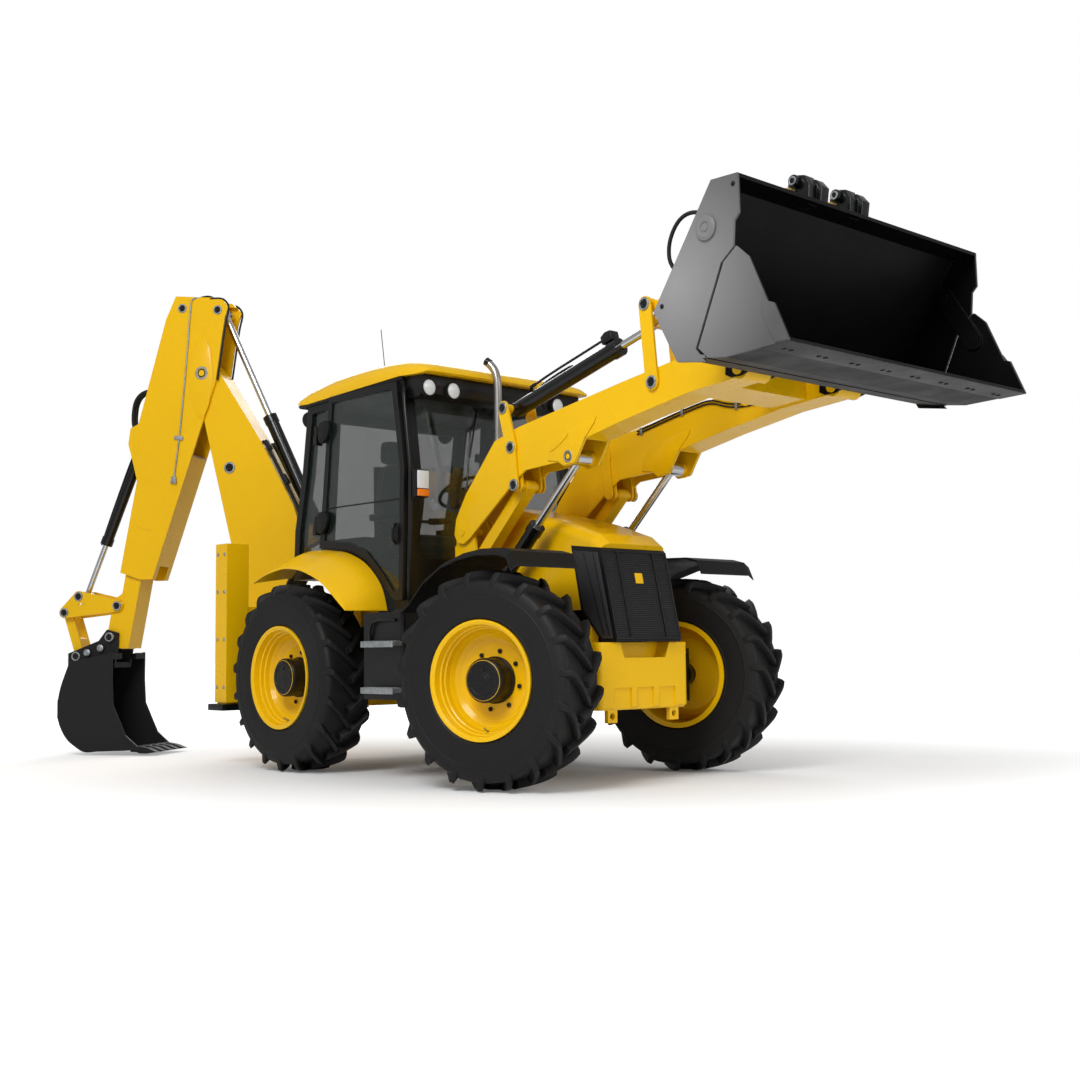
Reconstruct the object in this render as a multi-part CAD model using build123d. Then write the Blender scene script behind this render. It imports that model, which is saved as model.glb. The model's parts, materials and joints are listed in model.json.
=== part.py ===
from build123d import *
import os
from math import cos, hypot, pi, radians, sin

# Backhoe loader: four equal wheels with all-wheel steering, a raised loader with a
# two-piece shovel in front, and a side-shifting backhoe slewed to the machine's right.
# Millimetres.  +X points to the loader, +Y to the machine's left, +Z up from the ground.
# The pieces are drawn from the middle of the rear axle, seen from above, and moved at
# the end so that the origin is under the middle of the parked machine's outline.

# ---------------------------------------------------------------- driving dimensions
REAR_AXLE_X = -712.2      # rear axle from the origin, along X
CENTRE_Y = 101.5          # machine's centre plane from the origin, along Y

WHEELBASE = 2220.0
TYRE_R = 705.0            # over the lugs
TYRE_W = 420.0
LUGS = 19                 # on each side of the tread
RIM_R = 386.0             # outer lip of the rim
RIM_DEPTH = 190.0         # from the outer lip in to the wheel disc
BEAD = 22.0               # from the lip's radius down to the tyre's bead
WHEEL_Y = 980.0           # middle of the tyre from the centre plane
KINGPIN_Y = 800.0
STEER_DEG = 14.8          # front wheels as parked, to the left
HUB_R = 140.0
AXLE_R = 95.0

RAIL_Y = 230.0            # inner face of each frame rail
RAIL_T = 68.0
RAIL_Z = (830.0, 1080.0)
RAIL_X = (-800.0, 2449.7)

PLATE_GAP = 4.0           # between plates that turn past each other
FIT = 0.3                 # radial clearance of pins
PIN_R = 32.0
EYE_R = 22.0              # tie-down eyes under the frame

ARM_IN = 342.0            # inner and outer faces of each loader arm, from the centre
ARM_OUT = 570.0
ARM_PLATE = 15.0
ARM_MID = (ARM_IN + ARM_OUT) / 2
LIFT_EYE_W = 118.0        # width of each ram's eyes
CROWD_EYE_W = 116.0
BOOM_EYE_W = 150.0
DIPPER_EYE_W = 130.0
BUCKET_EYE_W = 66.0
ARM_PIVOT = (1430.0, 1740.0)
CRANK_PIVOT = (1980.0, 2281.0)
CRANK_TOP = (1902.0, 2562.0)
CRANK_LOW = (2010.0, 2018.0)
LIFT_PIN = (2530.0, 2162.0)
LIFT_FOOT = (1492.0, 1147.0)
LEVER_PIVOT = (3300.0, 2543.0)
LEVER_TOP = (3250.0, 3043.0)
LEVER_ROD = (3256.0, 2945.0)
SHOVEL_PIVOT = (3985.0, 2520.0)
SHOVEL_LINK = (3925.0, 2990.0)
CLAM_PIVOT = (4290.0, 3170.0)
SHOVEL_W = 2404.0
SHOVEL_T = 20.0

BONNET_HALF = 315.0
COWL_X = (1135.0, 1500.0)

CAB_HALF = 790.0
CAB_WALL = 50.0
DOOR_T = 40.0
DOOR_HINGE = (0.0, 850.0)
HINGE_Z = (1900.0, 2600.0)
HINGE_R = 13.0
HINGE_L = 70.0

HOUSING_X = (-975.0, -805.0)
HOUSING_Y = (955.0, 1155.0)
HOUSING_TOP = 1765.0
LEG_WALL = 14.0

KINGPOST_X = -1360.0
SLEW_DEG = 34.5
BOOM_HALF = 125.0
BOOM_PLATE = 18.0
DIPPER_HALF = 150.0
BUCKET_HALF = 300.0
BOOM_FOOT = (350.0, 850.0)
BOOM_RAM_FOOT = (520.0, 560.0)
BOOM_RAM_PIN = (713.0, 2532.0)
DIPPER_PIVOT = (976.0, 3390.0)
DIPPER_RAM_PIN = (827.0, 3956.0)
DIPPER_RAM_FOOT = (-105.0, 1930.0)
BUCKET_PIVOT = (1838.0, 1043.0)
LEVER_PIN = (1784.0, 1322.0)
BUCKET_RAM_PIN = (2171.0, 1412.0)
BUCKET_RAM_FOOT = (1600.0, 2838.0)
LINK_TOP = (2312.0, 1269.0)
LINK_LOW = (2183.0, 874.0)
DIPPER_END = (1643.0, 1584.0)      # middle of the outer dipper's lower end
DIPPER_DIR = (0.1850, -0.98274)     # unit vector down the dipper


# ---------------------------------------------------------------- drawing helpers
def box(x, y, z):
    """A box from three (low, high) pairs."""
    size = [high - low for low, high in (x, y, z)]
    middle = [(low + high) / 2 for low, high in (x, y, z)]
    return Pos(*middle) * Box(*size)


def side_plate(outline, y0, y1):
    """A plate in the XZ plane, given by its corners, from y0 to y1."""
    edge = Polyline(*[(x, y0, z) for x, z in outline], close=True)
    return extrude(make_face(edge), amount=y1 - y0, dir=(0, 1, 0))


def boss(point, radius, y0, y1):
    """A round bar along Y at an (x, z) point."""
    return Pos(point[0], (y0 + y1) / 2, point[1]) * Rot(90, 0, 0) * Cylinder(radius, y1 - y0)


def bar(start, end, radius, y, skip=0.0, length=None):
    """A round bar in the XZ plane along start to end, beginning after skip."""
    dx, dz = end[0] - start[0], end[1] - start[1]
    whole = hypot(dx, dz)
    length = whole - skip if length is None else length
    plane = Plane(origin=(start[0], y, start[1]), z_dir=(dx, 0, dz))
    return plane * Pos(0, 0, skip + length / 2) * Cylinder(radius, length)


def strap(start, end, width, y0, y1):
    """A flat link with round ends between two pins."""
    dx, dz = end[0] - start[0], end[1] - start[1]
    whole = hypot(dx, dz)
    nx, nz = -dz / whole * width / 2, dx / whole * width / 2
    corners = [(start[0] + nx, start[1] + nz), (end[0] + nx, end[1] + nz),
               (end[0] - nx, end[1] - nz), (start[0] - nx, start[1] - nz)]
    body = side_plate(corners, y0, y1)
    return body + boss(start, width / 2, y0, y1) + boss(end, width / 2, y0, y1)


def mirrored(shape):
    return mirror(shape, about=Plane.XZ)


def both(shape):
    """A piece and its mirror image on the machine's other side."""
    return Compound([*shape.solids(), *mirrored(shape).solids()])


def ram(foot, pin, y, bore, rod, barrel_end, eye_w, eye_r, start):
    """Barrel and rod of a hydraulic ram.  barrel_end and the rod's hidden start are
    measured from the foot.  The rod's eye turns between two bosses, on its own stub pin."""
    whole = hypot(pin[0] - foot[0], pin[1] - foot[1])
    eye = boss(foot, eye_r, y - eye_w / 2, y + eye_w / 2)
    barrel = eye + bar(foot, pin, bore, y, 0, barrel_end)
    barrel += bar(foot, pin, bore + 7, y, barrel_end - 70, 70)
    barrel -= bar(foot, pin, rod + 0.4, y, eye_r + 35, barrel_end)
    barrel -= boss(foot, PIN_R + FIT, y - eye_w, y + eye_w)
    stem = bar(foot, pin, rod, y, start, whole - start)
    stem += boss(pin, eye_r, y - eye_w / 2, y + eye_w / 2)
    return barrel, stem


def pin_bosses(pin, radius, y, eye_w, reach):
    """Two bosses that reach in from plates at y - reach and y + reach to a ram's eye."""
    near, far = eye_w / 2 + FIT, reach
    return boss(pin, radius, y - far, y - near) + boss(pin, radius, y + near, y + far)


nodes = {}


# ---------------------------------------------------------------- wheels and axles
def ring_point(radius, y, angle):
    """A point at an angle from the top of the wheel, forward positive."""
    return Vector(radius * sin(angle), y, radius * cos(angle))


def ring(radius, y):
    """One polygon of the tyre's carcass."""
    points = [ring_point(radius, y, 2 * pi * (i + 0.5) / LUGS) for i in range(LUGS)]
    return make_face(Polyline(*points, close=True))


# the carcass from the bead to the crown: radius, distance from the tyre's middle plane
CARCASS = [(RIM_R - BEAD, 172), (566, 208), (648, 186)]
# one lug from the shoulder inwards: y, angle, top radius and half-angle, foot radius and half-angle
LUG = [(-184, 0.040, TYRE_R - 8, 0.028, 628, 0.046),
       (18, 0.275, TYRE_R, 0.031, 630, 0.040)]


def lug(turn, side):
    """A tread lug of flat facets between upright sections."""
    rows = []
    for y, angle, top_r, top_a, foot_r, foot_a in LUG:
        a = angle + turn
        corners = [(foot_r, a - foot_a), (foot_r, a + foot_a), (top_r, a + top_a), (top_r, a - top_a)]
        rows.append([ring_point(r, y * side, b) for r, b in corners])
    quads = [rows[0], rows[-1]]
    quads += [[a[i], a[(i + 1) % 4], b[(i + 1) % 4], b[i]] for a, b in zip(rows, rows[1:]) for i in range(4)]
    facets = [tri for a, b, c, d in quads for tri in ((a, b, c), (a, c, d))]
    return Solid(Shell([make_face(Polyline(*tri, close=True)).face() for tri in facets]))


def tyre():
    rings = [ring(r, -y) for r, y in CARCASS] + [ring(r, y) for r, y in reversed(CARCASS)]
    body = loft(rings, ruled=True) - Rot(90, 0, 0) * Cylinder(RIM_R - BEAD, TYRE_W)
    pitch = 2 * pi / LUGS
    lugs = [lug(pitch * i, 1) for i in range(LUGS)] + [lug(pitch * (i + 0.5), -1) for i in range(LUGS)]
    return body + lugs


def rim(outward):
    """Rim with its disc and planetary hub.  outward is -1 on the right, 1 on the left."""
    half = TYRE_W / 2
    lip = half - 5
    disc = lip - RIM_DEPTH
    seat = RIM_R - BEAD - FIT
    outline = [(RIM_R, lip), (RIM_R - 12, lip), (RIM_R - 30, lip - 9), (RIM_R - 36, lip - 55),
               (RIM_R - 46, lip - 60), (RIM_R - 49, lip - 87), (RIM_R - 58, lip - 93), (RIM_R - 64, lip - 125),
               (RIM_R - 86, lip - 157), (RIM_R - 118, disc + 9), (240, disc), (HUB_R, disc),
               (HUB_R, lip - 55), (HUB_R - 12, lip - 44), (0, lip - 44),
               (0, -25), (98, -25), (98, disc - 18), (240, disc - 18), (262, disc - 13), (300, disc + 13),
               (330, lip - 145), (RIM_R - 36, lip - 130), (RIM_R - 36, -lip + 8), (RIM_R, -lip + 8),
               (RIM_R, -lip + 20), (seat, -lip + 20), (seat, lip - 20), (RIM_R, lip - 20)]
    profile = make_face(Polyline(*[(r, y * outward, 0) for r, y in outline], close=True))
    return revolve(profile, Axis.Y)


def knuckle(outward):
    """Steering knuckle: kingpin yoke and spindle, drawn at the origin of its axle."""
    inner = (KINGPIN_Y + 75.0) * outward
    outer = (WHEEL_Y - 25.3) * outward
    lo, hi = sorted((inner, outer))
    spindle = Pos(0, (lo + hi) / 2, 0) * Rot(90, 0, 0) * Cylinder(80, hi - lo)
    yoke = box((-60, 60), sorted((inner - 25 * outward, inner + 10 * outward)), (-190, 190))
    ears = [Pos(0, KINGPIN_Y * outward, z) * Cylinder(60, 40) for z in (-170, 170)]
    webs = [box((-60, 60), sorted((KINGPIN_Y * outward, inner)), (z - 20, z + 20)) for z in (-170, 170)]
    pins = [Pos(0, KINGPIN_Y * outward, z) * Cylinder(28, 60) for z in (-130, 130)]
    lug = box((-230, -55), sorted(((KINGPIN_Y - 30) * outward, (KINGPIN_Y + 40) * outward)), (-190, -150))
    body = spindle + yoke + ears + webs + pins
    return body + (lug & box((-230, 0), (-2000, 2000), (-400, 400)))


def steered(shape, axle_x, outward, angle):
    """Turns a piece about its kingpin."""
    pin = Pos(axle_x, KINGPIN_Y * outward, TYRE_R)
    return pin * Rot(0, 0, angle) * Pos(0, -KINGPIN_Y * outward, 0) * shape


# corner name, axle X, side (-1 right, 1 left), steering angle
CORNERS = [("front_right", WHEELBASE, -1, STEER_DEG), ("front_left", WHEELBASE, 1, STEER_DEG),
           ("rear_right", 0.0, -1, 0.0), ("rear_left", 0.0, 1, 0.0)]
one_tyre = tyre()
for corner, axle_x, side, angle in CORNERS:
    at_wheel = Pos(0, WHEEL_Y * side, 0)
    nodes[f"tyre_{corner}"] = steered(at_wheel * one_tyre, axle_x, side, angle)
    nodes[f"rim_{corner}"] = steered(at_wheel * rim(side), axle_x, side, angle)
    nodes[f"knuckle_{corner}"] = steered(knuckle(side), axle_x, side, angle)


def axle_housing(x):
    tube = Pos(x, 0, TYRE_R) * Rot(90, 0, 0) * Cylinder(AXLE_R, 2 * (KINGPIN_Y - 75))
    heads = [Pos(x, KINGPIN_Y * s, TYRE_R) * Cylinder(45, 299.4) for s in (-1, 1)]
    arms = [box((x - 50, x + 50), sorted(((KINGPIN_Y - 90) * s, KINGPIN_Y * s)), (TYRE_R - 90, TYRE_R + 90))
            for s in (-1, 1)]
    sockets = [Pos(x, KINGPIN_Y * s, TYRE_R + z) * Cylinder(28 + FIT, 62) for s in (-1, 1) for z in (-130, 130)]
    centre = Pos(x, 0, TYRE_R) * Rot(0, 90, 0) * Cylinder(124, 330)
    saddle = box((x - 130, x + 130), (-RAIL_Y - RAIL_T, RAIL_Y + RAIL_T), (RAIL_Z[0] - 60, RAIL_Z[0]))
    return tube + heads + arms + centre + saddle - sockets


nodes["axles"] = Compound([*axle_housing(0).solids(), *axle_housing(WHEELBASE).solids()])

# ---------------------------------------------------------------- frame
rail_out = RAIL_Y + RAIL_T
frame = box(RAIL_X, (RAIL_Y, rail_out), RAIL_Z) + box(RAIL_X, (-rail_out, -RAIL_Y), RAIL_Z)
CROSS = [(-780, -600, 830, 1080), (300, 420, 860, 1080), (1260, 1400, 860, 1080), (1640, 1760, 830, 850),
         (2330, 2440, 830, 850)]
for x0, x1, z0, z1 in CROSS:
    frame += box((x0, x1), (-rail_out, rail_out), (z0, z1))
for x0, x1 in ((-330, -180), (760, 900)):
    top = 1460 if x1 < 0 else 1170
    for s in (-1, 1):
        frame += box((x0, x1), sorted((RAIL_Y * s, rail_out * s)), (RAIL_Z[1], top))

# the rear frame: two slide beams across the machine, joined to the leg housings
BEAMS_Z = [(430, 560), (1130, 1260)]
for z0, z1 in BEAMS_Z:
    frame += box((-900, -810), (-HOUSING_Y[0] - LEG_WALL, HOUSING_Y[0] + LEG_WALL), (z0, z1))
frame += box((-860, -790), (-620, 620), (500, 1190))

# leg housings, open below
for s in (-1, 1):
    shell = box(HOUSING_X, sorted((HOUSING_Y[0] * s, HOUSING_Y[1] * s)), (500, HOUSING_TOP))
    hollow = box((HOUSING_X[0] + LEG_WALL, HOUSING_X[1] - LEG_WALL),
                 sorted(((HOUSING_Y[0] + LEG_WALL) * s, (HOUSING_Y[1] - LEG_WALL) * s)), (490, HOUSING_TOP - 20))
    frame += shell
    frame -= hollow

# loader towers: two ears each side, between the arm's plates
EAR_Y = [(367.0, 392.0), (518.0, 543.0)]
EAR = [(1290, 850), (1650, 850), (1640, 1150), (1560, 1500), (1525, 1740), (1475, 1820), (1390, 1820),
       (1340, 1740), (1320, 1300), (1290, 1100)]
tower = box((1290, 1650), (rail_out, EAR_Y[1][1]), (850, 1040))
for y0, y1 in EAR_Y:
    tower += side_plate(EAR, y0, y1)
tower += box((1320, 1345), (EAR_Y[0][0], EAR_Y[1][1]), (1000, 1640))
tower -= box((1400, 1700), (EAR_Y[0][1], EAR_Y[1][0]), (1040, 1300))
LINK_FOOT = (ARM_PIVOT[0] + CRANK_LOW[0] - CRANK_PIVOT[0], ARM_PIVOT[1] + CRANK_LOW[1] - CRANK_PIVOT[1])
tower += boss(LINK_FOOT, PIN_R, EAR_Y[0][0], EAR_Y[1][1])
tower += boss(LIFT_FOOT, PIN_R, EAR_Y[0][0], EAR_Y[1][1])
tower += boss(ARM_PIVOT, PIN_R, ARM_IN - 6, ARM_OUT + 6)
frame += tower + mirrored(tower)
for y in (-930, 880):
    frame += box((-900, -810), (y, y + 50), (365, 435)) - boss((-855, 400), EYE_R, y - 5, y + 55)
nodes["main_frame"] = frame

gearbox = box((520, 1240), (-RAIL_Y + FIT, RAIL_Y - FIT), (600, 870))
nodes["engine_block"] = box((1660, 2420), (-215, 215), (850, 1420)) + gearbox

# front ballast casting
NOTCH_Y, RECESS = 215.0, 12.0
ballast = box((2450, 2660), (-435, 435), (495, 940))
ballast = fillet(ballast.edges().filter_by(Axis.Z).group_by(Axis.X)[-1], 45)
ballast = chamfer(ballast.edges().group_by(Axis.Z)[0].sort_by(Axis.X)[-1], 20)
notch = [(-NOTCH_Y - 25, 945), (-NOTCH_Y + 15, 838), (NOTCH_Y - 15, 838), (NOTCH_Y + 25, 945)]
front = make_face(Polyline(*[(2560, y, z) for y, z in notch], close=True))
ballast -= extrude(front, amount=120, dir=(1, 0, 0))
for low in (-300, -85, 130):
    ballast -= box((2660 - RECESS, 2680), (low, low + 165), (480, 640))
for y in (-300, 300):
    eye = Pos(2625, y, 455) * Rot(0, 90, 0) * Cylinder(EYE_R, 60)
    ballast += box((2610, 2640), (y - 45, y + 45), (412, 500)) - eye
nodes["ballast"] = ballast

# ---------------------------------------------------------------- bodywork
TANK_TOP, SHEET = 1166.0, 14.0
tank = box((930, 1405), (560, 1080), (560, TANK_TOP)) + box((950, 1280), (rail_out, 570), (900, 1000))
tank = fillet(tank.edges().filter_by(Axis.Z).group_by(Axis.Y)[-1], 30)
for z in (615, 935):
    tank += box((1040, 1400), (1080, 1165), (z, z + 25))
nodes["side_tanks"] = both(tank)

def shell_between(sections, thick):
    """A sheet whose upper face runs through rows of points: (y, [(x, z), ...]) each."""
    faces = []
    for y, row in sections:
        lower = [(x, z - thick) for x, z in reversed(row)]
        faces.append(make_face(Polyline(*[(x, y, z) for x, z in row + lower], close=True)))
    return loft(faces, ruled=True)


FENDER = [(CAB_HALF + 0.3, [(-370, 1480), (-180, 1610), (20, 1672), (230, 1660), (420, 1628), (640, 1535),
                            (820, 1372), (895, 1190)]),
          (965, [(-400, 1462), (-190, 1590), (20, 1650), (230, 1640), (420, 1604), (640, 1508), (815, 1352),
                 (885, 1190)]),
          (1150, [(-425, 1432), (-200, 1510), (30, 1548), (200, 1543), (360, 1512), (580, 1425), (790, 1278),
                  (872, 1190)]),
          (1185, [(-430, 1405), (-200, 1482), (30, 1520), (200, 1514), (350, 1484), (570, 1398), (780, 1252),
                  (868, 1190)])]
nodes["rear_fenders"] = both(shell_between(FENDER, SHEET))
MUDGUARD = [(1380, TANK_TOP + SHEET), (1410, TANK_TOP + SHEET), (1500, 1188), (1610, 1250), (1760, 1385), (1930, 1475), (2120, 1525), (2300, 1545),
            (2500, 1540), (2600, 1515), (2640, 1430)]
LOWER = [(x, z - 34) for x, z in MUDGUARD]
mudguard = shell_between([(605, MUDGUARD), (1130, MUDGUARD), (1185, LOWER)], SHEET)
nodes["front_mudguards"] = both(mudguard)

CAB_SIDE = [(-400, 1460), (-380, 1850), (-280, 2280), (-200, 2840), (1030, 2890), (1130, 2200),
            (1105, 1500), (1090, 1170), (740, 1170), (600, 1460)]
cab = side_plate(CAB_SIDE, -CAB_HALF, CAB_HALF)
CAB_ROOM = [(-345, 1500), (-328, 1850), (-228, 2280), (-155, 2795), (985, 2840), (1080, 2200),
            (1056, 1500), (1045, 1200), (760, 1200), (630, 1500)]
inner_y = CAB_HALF - CAB_WALL
cab -= side_plate(CAB_ROOM, -inner_y, inner_y)
DOOR_HOLE = [(95, 1680), (190, 2810), (960, 2830), (1060, 2200), (1035, 1340), (930, 1340), (640, 1580),
             (430, 1680)]
QUARTER = [(-325, 1640), (-310, 1850), (-215, 2280), (-140, 2760), (100, 2780), (20, 1680)]
WINDSCREEN = [(900, 1560), (900, 2790), (1200, 2790), (1200, 1560)]
REAR_WINDOW = [(-100, 1640), (-100, 2720), (-500, 2720), (-500, 1640)]
for hole in (DOOR_HOLE, QUARTER):
    cab -= side_plate(hole, -CAB_HALF - 10, CAB_HALF + 10) - side_plate(hole, -inner_y + 60, inner_y - 60)
cab -= box((900, 1300), (-700, 700), (1560, 2790))
cab -= box((-500, -100), (-700, 700), (1640, 2720))
nodes["cab_frame"] = cab

GLASS_T = 8.0
side_pane = side_plate(QUARTER, CAB_HALF - 30, CAB_HALF - 30 + GLASS_T)
front_pane = side_plate([(1036, 2790), (1118, 2200), (1094, 1560), (1102, 1560), (1126, 2200), (1044, 2790)],
                        -700, 700)
rear_pane = side_plate([(-385, 1640), (-372, 1850), (-272, 2280), (-212, 2720), (-204, 2720), (-264, 2280),
                        (-364, 1850), (-377, 1640)], -700, 700)
nodes["cab_glass"] = Compound([*both(side_pane).solids(), *front_pane.solids(), *rear_pane.solids()])

ROOF = [(-310, 2848), (-200, 2840.3), (1030, 2890.3), (1250, 2880), (1330, 2905), (1270, 2975), (1050, 3015),
        (650, 3035), (150, 3015), (-180, 2945)]
roof = side_plate(ROOF, -CAB_HALF - 20, CAB_HALF + 20)
nodes["cab_roof"] = roof

floor = side_plate([(-300, 1500.3), (640, 1500.3), (765, 1200.3), (1040, 1200.3), (1040, 1215), (775, 1215),
                    (650, 1515), (-300, 1515)], -inner_y + 5, inner_y - 5)
console = box((-150, 420), (450, 700), (1515, 1900)) + box((-150, 420), (-700, -450), (1515, 1760))
pedestal = box((0, 300), (-150, 150), (1515, 1640))
column = side_plate([(900, 1215), (1030, 1215), (1010, 1900), (850, 2080), (830, 2060), (930, 1860)], -130, 130)
wheel_plane = Plane(origin=(770, 0, 2115), z_dir=(-0.5, 0, 0.87))
steering = wheel_plane * (Torus(200, 14) + Cylinder(45, 40) + Box(390, 26, 12) + Box(26, 390, 12))
steering += bar((770, 2115), (900, 1960), 24, 0)
nodes["cab_interior"] = floor + console + pedestal + column + steering

cushion = box((-60, 460), (-250, 250), (1690, 1800))
back = side_plate([(-60, 1790), (40, 1790), (-60, 2420), (-160, 2400)], -230, 230)
rest = side_plate([(-158, 2400), (-75, 2420), (-95, 2620), (-165, 2600)], -130, 130)
nodes["seat"] = cushion + back + rest + Pos(150, 0, 1665.3) * Cylinder(140, 50)

exhaust = Pos(1420, -240, 2342.6) * Cylinder(30, 835) + Pos(1380, -240, 2790) * Rot(0, -60, 0) * Cylinder(30, 130)
nodes["exhaust"] = exhaust

lamp_parts = []
for y, x, z in ((-690, 1262, 2850), (-440, 1262, 2850), (440, 1262, 2850), (690, 1262, 2850)):
    lamp = Pos(x, y, z - 50) * Rot(0, 90, 0) * Cylinder(56, 60)
    lamp_parts.append(lamp + box((1236, 1249), (y - 20, y + 20), (2840, 2880)))
nodes["lamps"] = Compound([s for p in lamp_parts for s in p.solids()])

# ---------------------------------------------------------------- bonnet and grille
BONNET_TOP = [(1500.3, 1925), (1700, 1890), (2180, 1775), (2500, 1670), (2590, 1600)]


def crowned(outline, half, low, radius):
    """A block across the machine whose top long edges, above low, are rounded."""
    block = side_plate(outline, -half, half)
    edges = block.edges().filter_by(lambda e: abs(abs(e.center().Y) - half) < 1 and e.center().Z > low
                                    and abs((e @ 0).X - (e @ 1).X) > 60)
    return fillet(edges, radius)


bonnet = crowned(BONNET_TOP + [(2560, 1570), (2280, 1600), (2370, 1160), (1500.3, 1160)], BONNET_HALF, 1605, 80)
BONNET_ROOM = [(1480, 1898), (1690, 1868), (2170, 1753), (2490, 1645), (2540, 1600), (2600, 1400), (2600, 1100),
               (1480, 1100)]
bonnet -= crowned(BONNET_ROOM, BONNET_HALF - 15, 1605, 68)
BONNET_HINGE = (BONNET_TOP[0][0], BONNET_TOP[0][1])
cowl = box(COWL_X, (-BONNET_HALF, BONNET_HALF), (1080.3, 1925))
cowl -= box((1150, 1510), (-BONNET_HALF + 15, BONNET_HALF - 15), (1070, 1900))
for y in (-200, 200):
    bonnet += boss(BONNET_HINGE, HINGE_R, y - 30, y + 30)
    cowl -= boss(BONNET_HINGE, HINGE_R + 5, y - 35, y + 35)
nodes["bonnet"] = bonnet
nodes["cowl"] = cowl
GRILLE = [(2280.3, 1599.6), (2559, 1569.7), (2700, 945), (2566, 945), (2370.4, 1160)]
grille = side_plate(GRILLE, -BONNET_HALF, BONNET_HALF)
grille -= side_plate([(2200, 1640), (2515, 1600), (2676, 930), (2200, 900)], -BONNET_HALF + 16, BONNET_HALF - 16)
nodes["grille"] = grille

# ---------------------------------------------------------------- doors
DOOR = [(20, 1690), (150, 2850), (1000, 2850), (1095, 2200), (1070, 1262), (975, 1262), (925, 1300), (820, 1410),
        (620, 1575), (420, 1650)]
PANE = [(85, 1745), (190, 2800), (950, 2800), (1045, 2200), (1025, 1330), (960, 1330), (850, 1450), (640, 1630),
        (440, 1710)]
for name, s in (("right", -1), ("left", 1)):
    y0, y1 = sorted(((CAB_HALF + 0.5) * s, (CAB_HALF + DOOR_T) * s))
    door = side_plate(DOOR, y0, y1) - side_plate(PANE, y0 - 5, y1 + 5)
    hinge_x, hinge_y = DOOR_HINGE
    for z in HINGE_Z:
        leaf = sorted(((CAB_HALF + DOOR_T - 1) * s, hinge_y * s))
        door += Pos(hinge_x, hinge_y * s, z) * Cylinder(HINGE_R, HINGE_L)
        door += box((hinge_x, 70 + (z - 1900) / 8), leaf, (z - HINGE_L / 2, z + HINGE_L / 2))
        low = z - HINGE_L - FIT
        leaf = sorted(((CAB_HALF - 1) * s, hinge_y * s))
        nodes["cab_frame"] += Pos(hinge_x, hinge_y * s, low) * Cylinder(HINGE_R, HINGE_L)
        nodes["cab_frame"] += box((hinge_x - 40, hinge_x), leaf, (low - HINGE_L / 2, low + HINGE_L / 2))
    nodes[f"door_{name}"] = door
    g0, g1 = sorted(((CAB_HALF + 20) * s, (CAB_HALF + 28) * s))
    nodes[f"door_glass_{name}"] = side_plate(PANE, g0, g1)

# ---------------------------------------------------------------- loader
ARM = [(1345, 1720), (1365, 1830), (1475, 2000), (1790, 2345), (2040, 2415), (3030, 2585), (3640, 2680),
       (3930, 2600), (3985, 2574), (4030, 2550), (4035, 2500), (3995, 2466), (3940, 2476), (3580, 2440),
       (3085, 2350), (2690, 2265), (2590, 2110), (2480, 2100), (2440, 2135), (2105, 2112), (1985, 2040),
       (1520, 1690), (1450, 1650), (1380, 1660)]
face = make_face(Polyline(*[(x, ARM_IN, z) for x, z in ARM], close=True))
arm = extrude(face, amount=ARM_OUT - ARM_IN, dir=(0, 1, 0))
pocket = extrude(Pos(0, ARM_PLATE, 0) * offset(face, amount=-14), amount=ARM_OUT - ARM_IN - 2 * ARM_PLATE,
                 dir=(0, 1, 0))
arm -= pocket
mouth = (ARM_IN + ARM_PLATE, ARM_OUT - ARM_PLATE)
arm -= box((1300, 1640), mouth, (1500, 1925))
arm -= box((1500, 2300), mouth, (1500, 2160))
arm -= box((2290, 2700), mouth, (2050, 2262))
arm += boss(SHOVEL_PIVOT, 56, ARM_IN, ARM_OUT) + boss(SHOVEL_PIVOT, PIN_R, ARM_IN - 30, ARM_OUT + 30)
arm += boss(LIFT_PIN, 60, ARM_IN, mouth[0]) + boss(LIFT_PIN, 60, mouth[1], ARM_OUT)
arm += pin_bosses(LIFT_PIN, 46, ARM_MID, LIFT_EYE_W, ARM_MID - ARM_IN)
arm -= boss(ARM_PIVOT, PIN_R + FIT, ARM_IN - 1, ARM_OUT + 1)
arm -= boss(CRANK_PIVOT, PIN_R + FIT, ARM_IN - 1, ARM_OUT + 1)
arm -= boss(LEVER_PIVOT, PIN_R + FIT, ARM_IN - 1, ARM_OUT + 1)
cross = side_plate([(3520, 2445), (3520, 2640), (3640, 2655), (3780, 2625), (3780, 2470)], -ARM_IN - 1, ARM_IN + 1)
cross -= side_plate([(3535, 2460), (3535, 2625), (3640, 2640), (3765, 2612), (3765, 2485)], -ARM_IN, ARM_IN)
nodes["loader_arms"] = arm + mirrored(arm) + cross

SIDE_Y = [(ARM_IN - PLATE_GAP - 12, ARM_IN - PLATE_GAP), (ARM_OUT + PLATE_GAP, ARM_OUT + PLATE_GAP + 16)]
span = (SIDE_Y[0][0], SIDE_Y[1][1])
INSIDE_Y = [(mouth[0] + 5, mouth[0] + 21), (mouth[1] - 21, mouth[1] - 5)]
crank = boss(CRANK_TOP, PIN_R, *span) + boss(CRANK_PIVOT, PIN_R, *span)
crank += boss(CRANK_LOW, PIN_R, INSIDE_Y[0][0], INSIDE_Y[1][1])
for y0, y1 in SIDE_Y:
    crank += strap(CRANK_TOP, CRANK_PIVOT, 100, y0, y1) + strap(CRANK_PIVOT, CRANK_LOW, 80, y0, y1)
for y0, y1 in INSIDE_Y:
    crank += strap(CRANK_PIVOT, CRANK_LOW, 90, y0, y1)
nodes["bell_cranks"] = both(crank)

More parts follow.
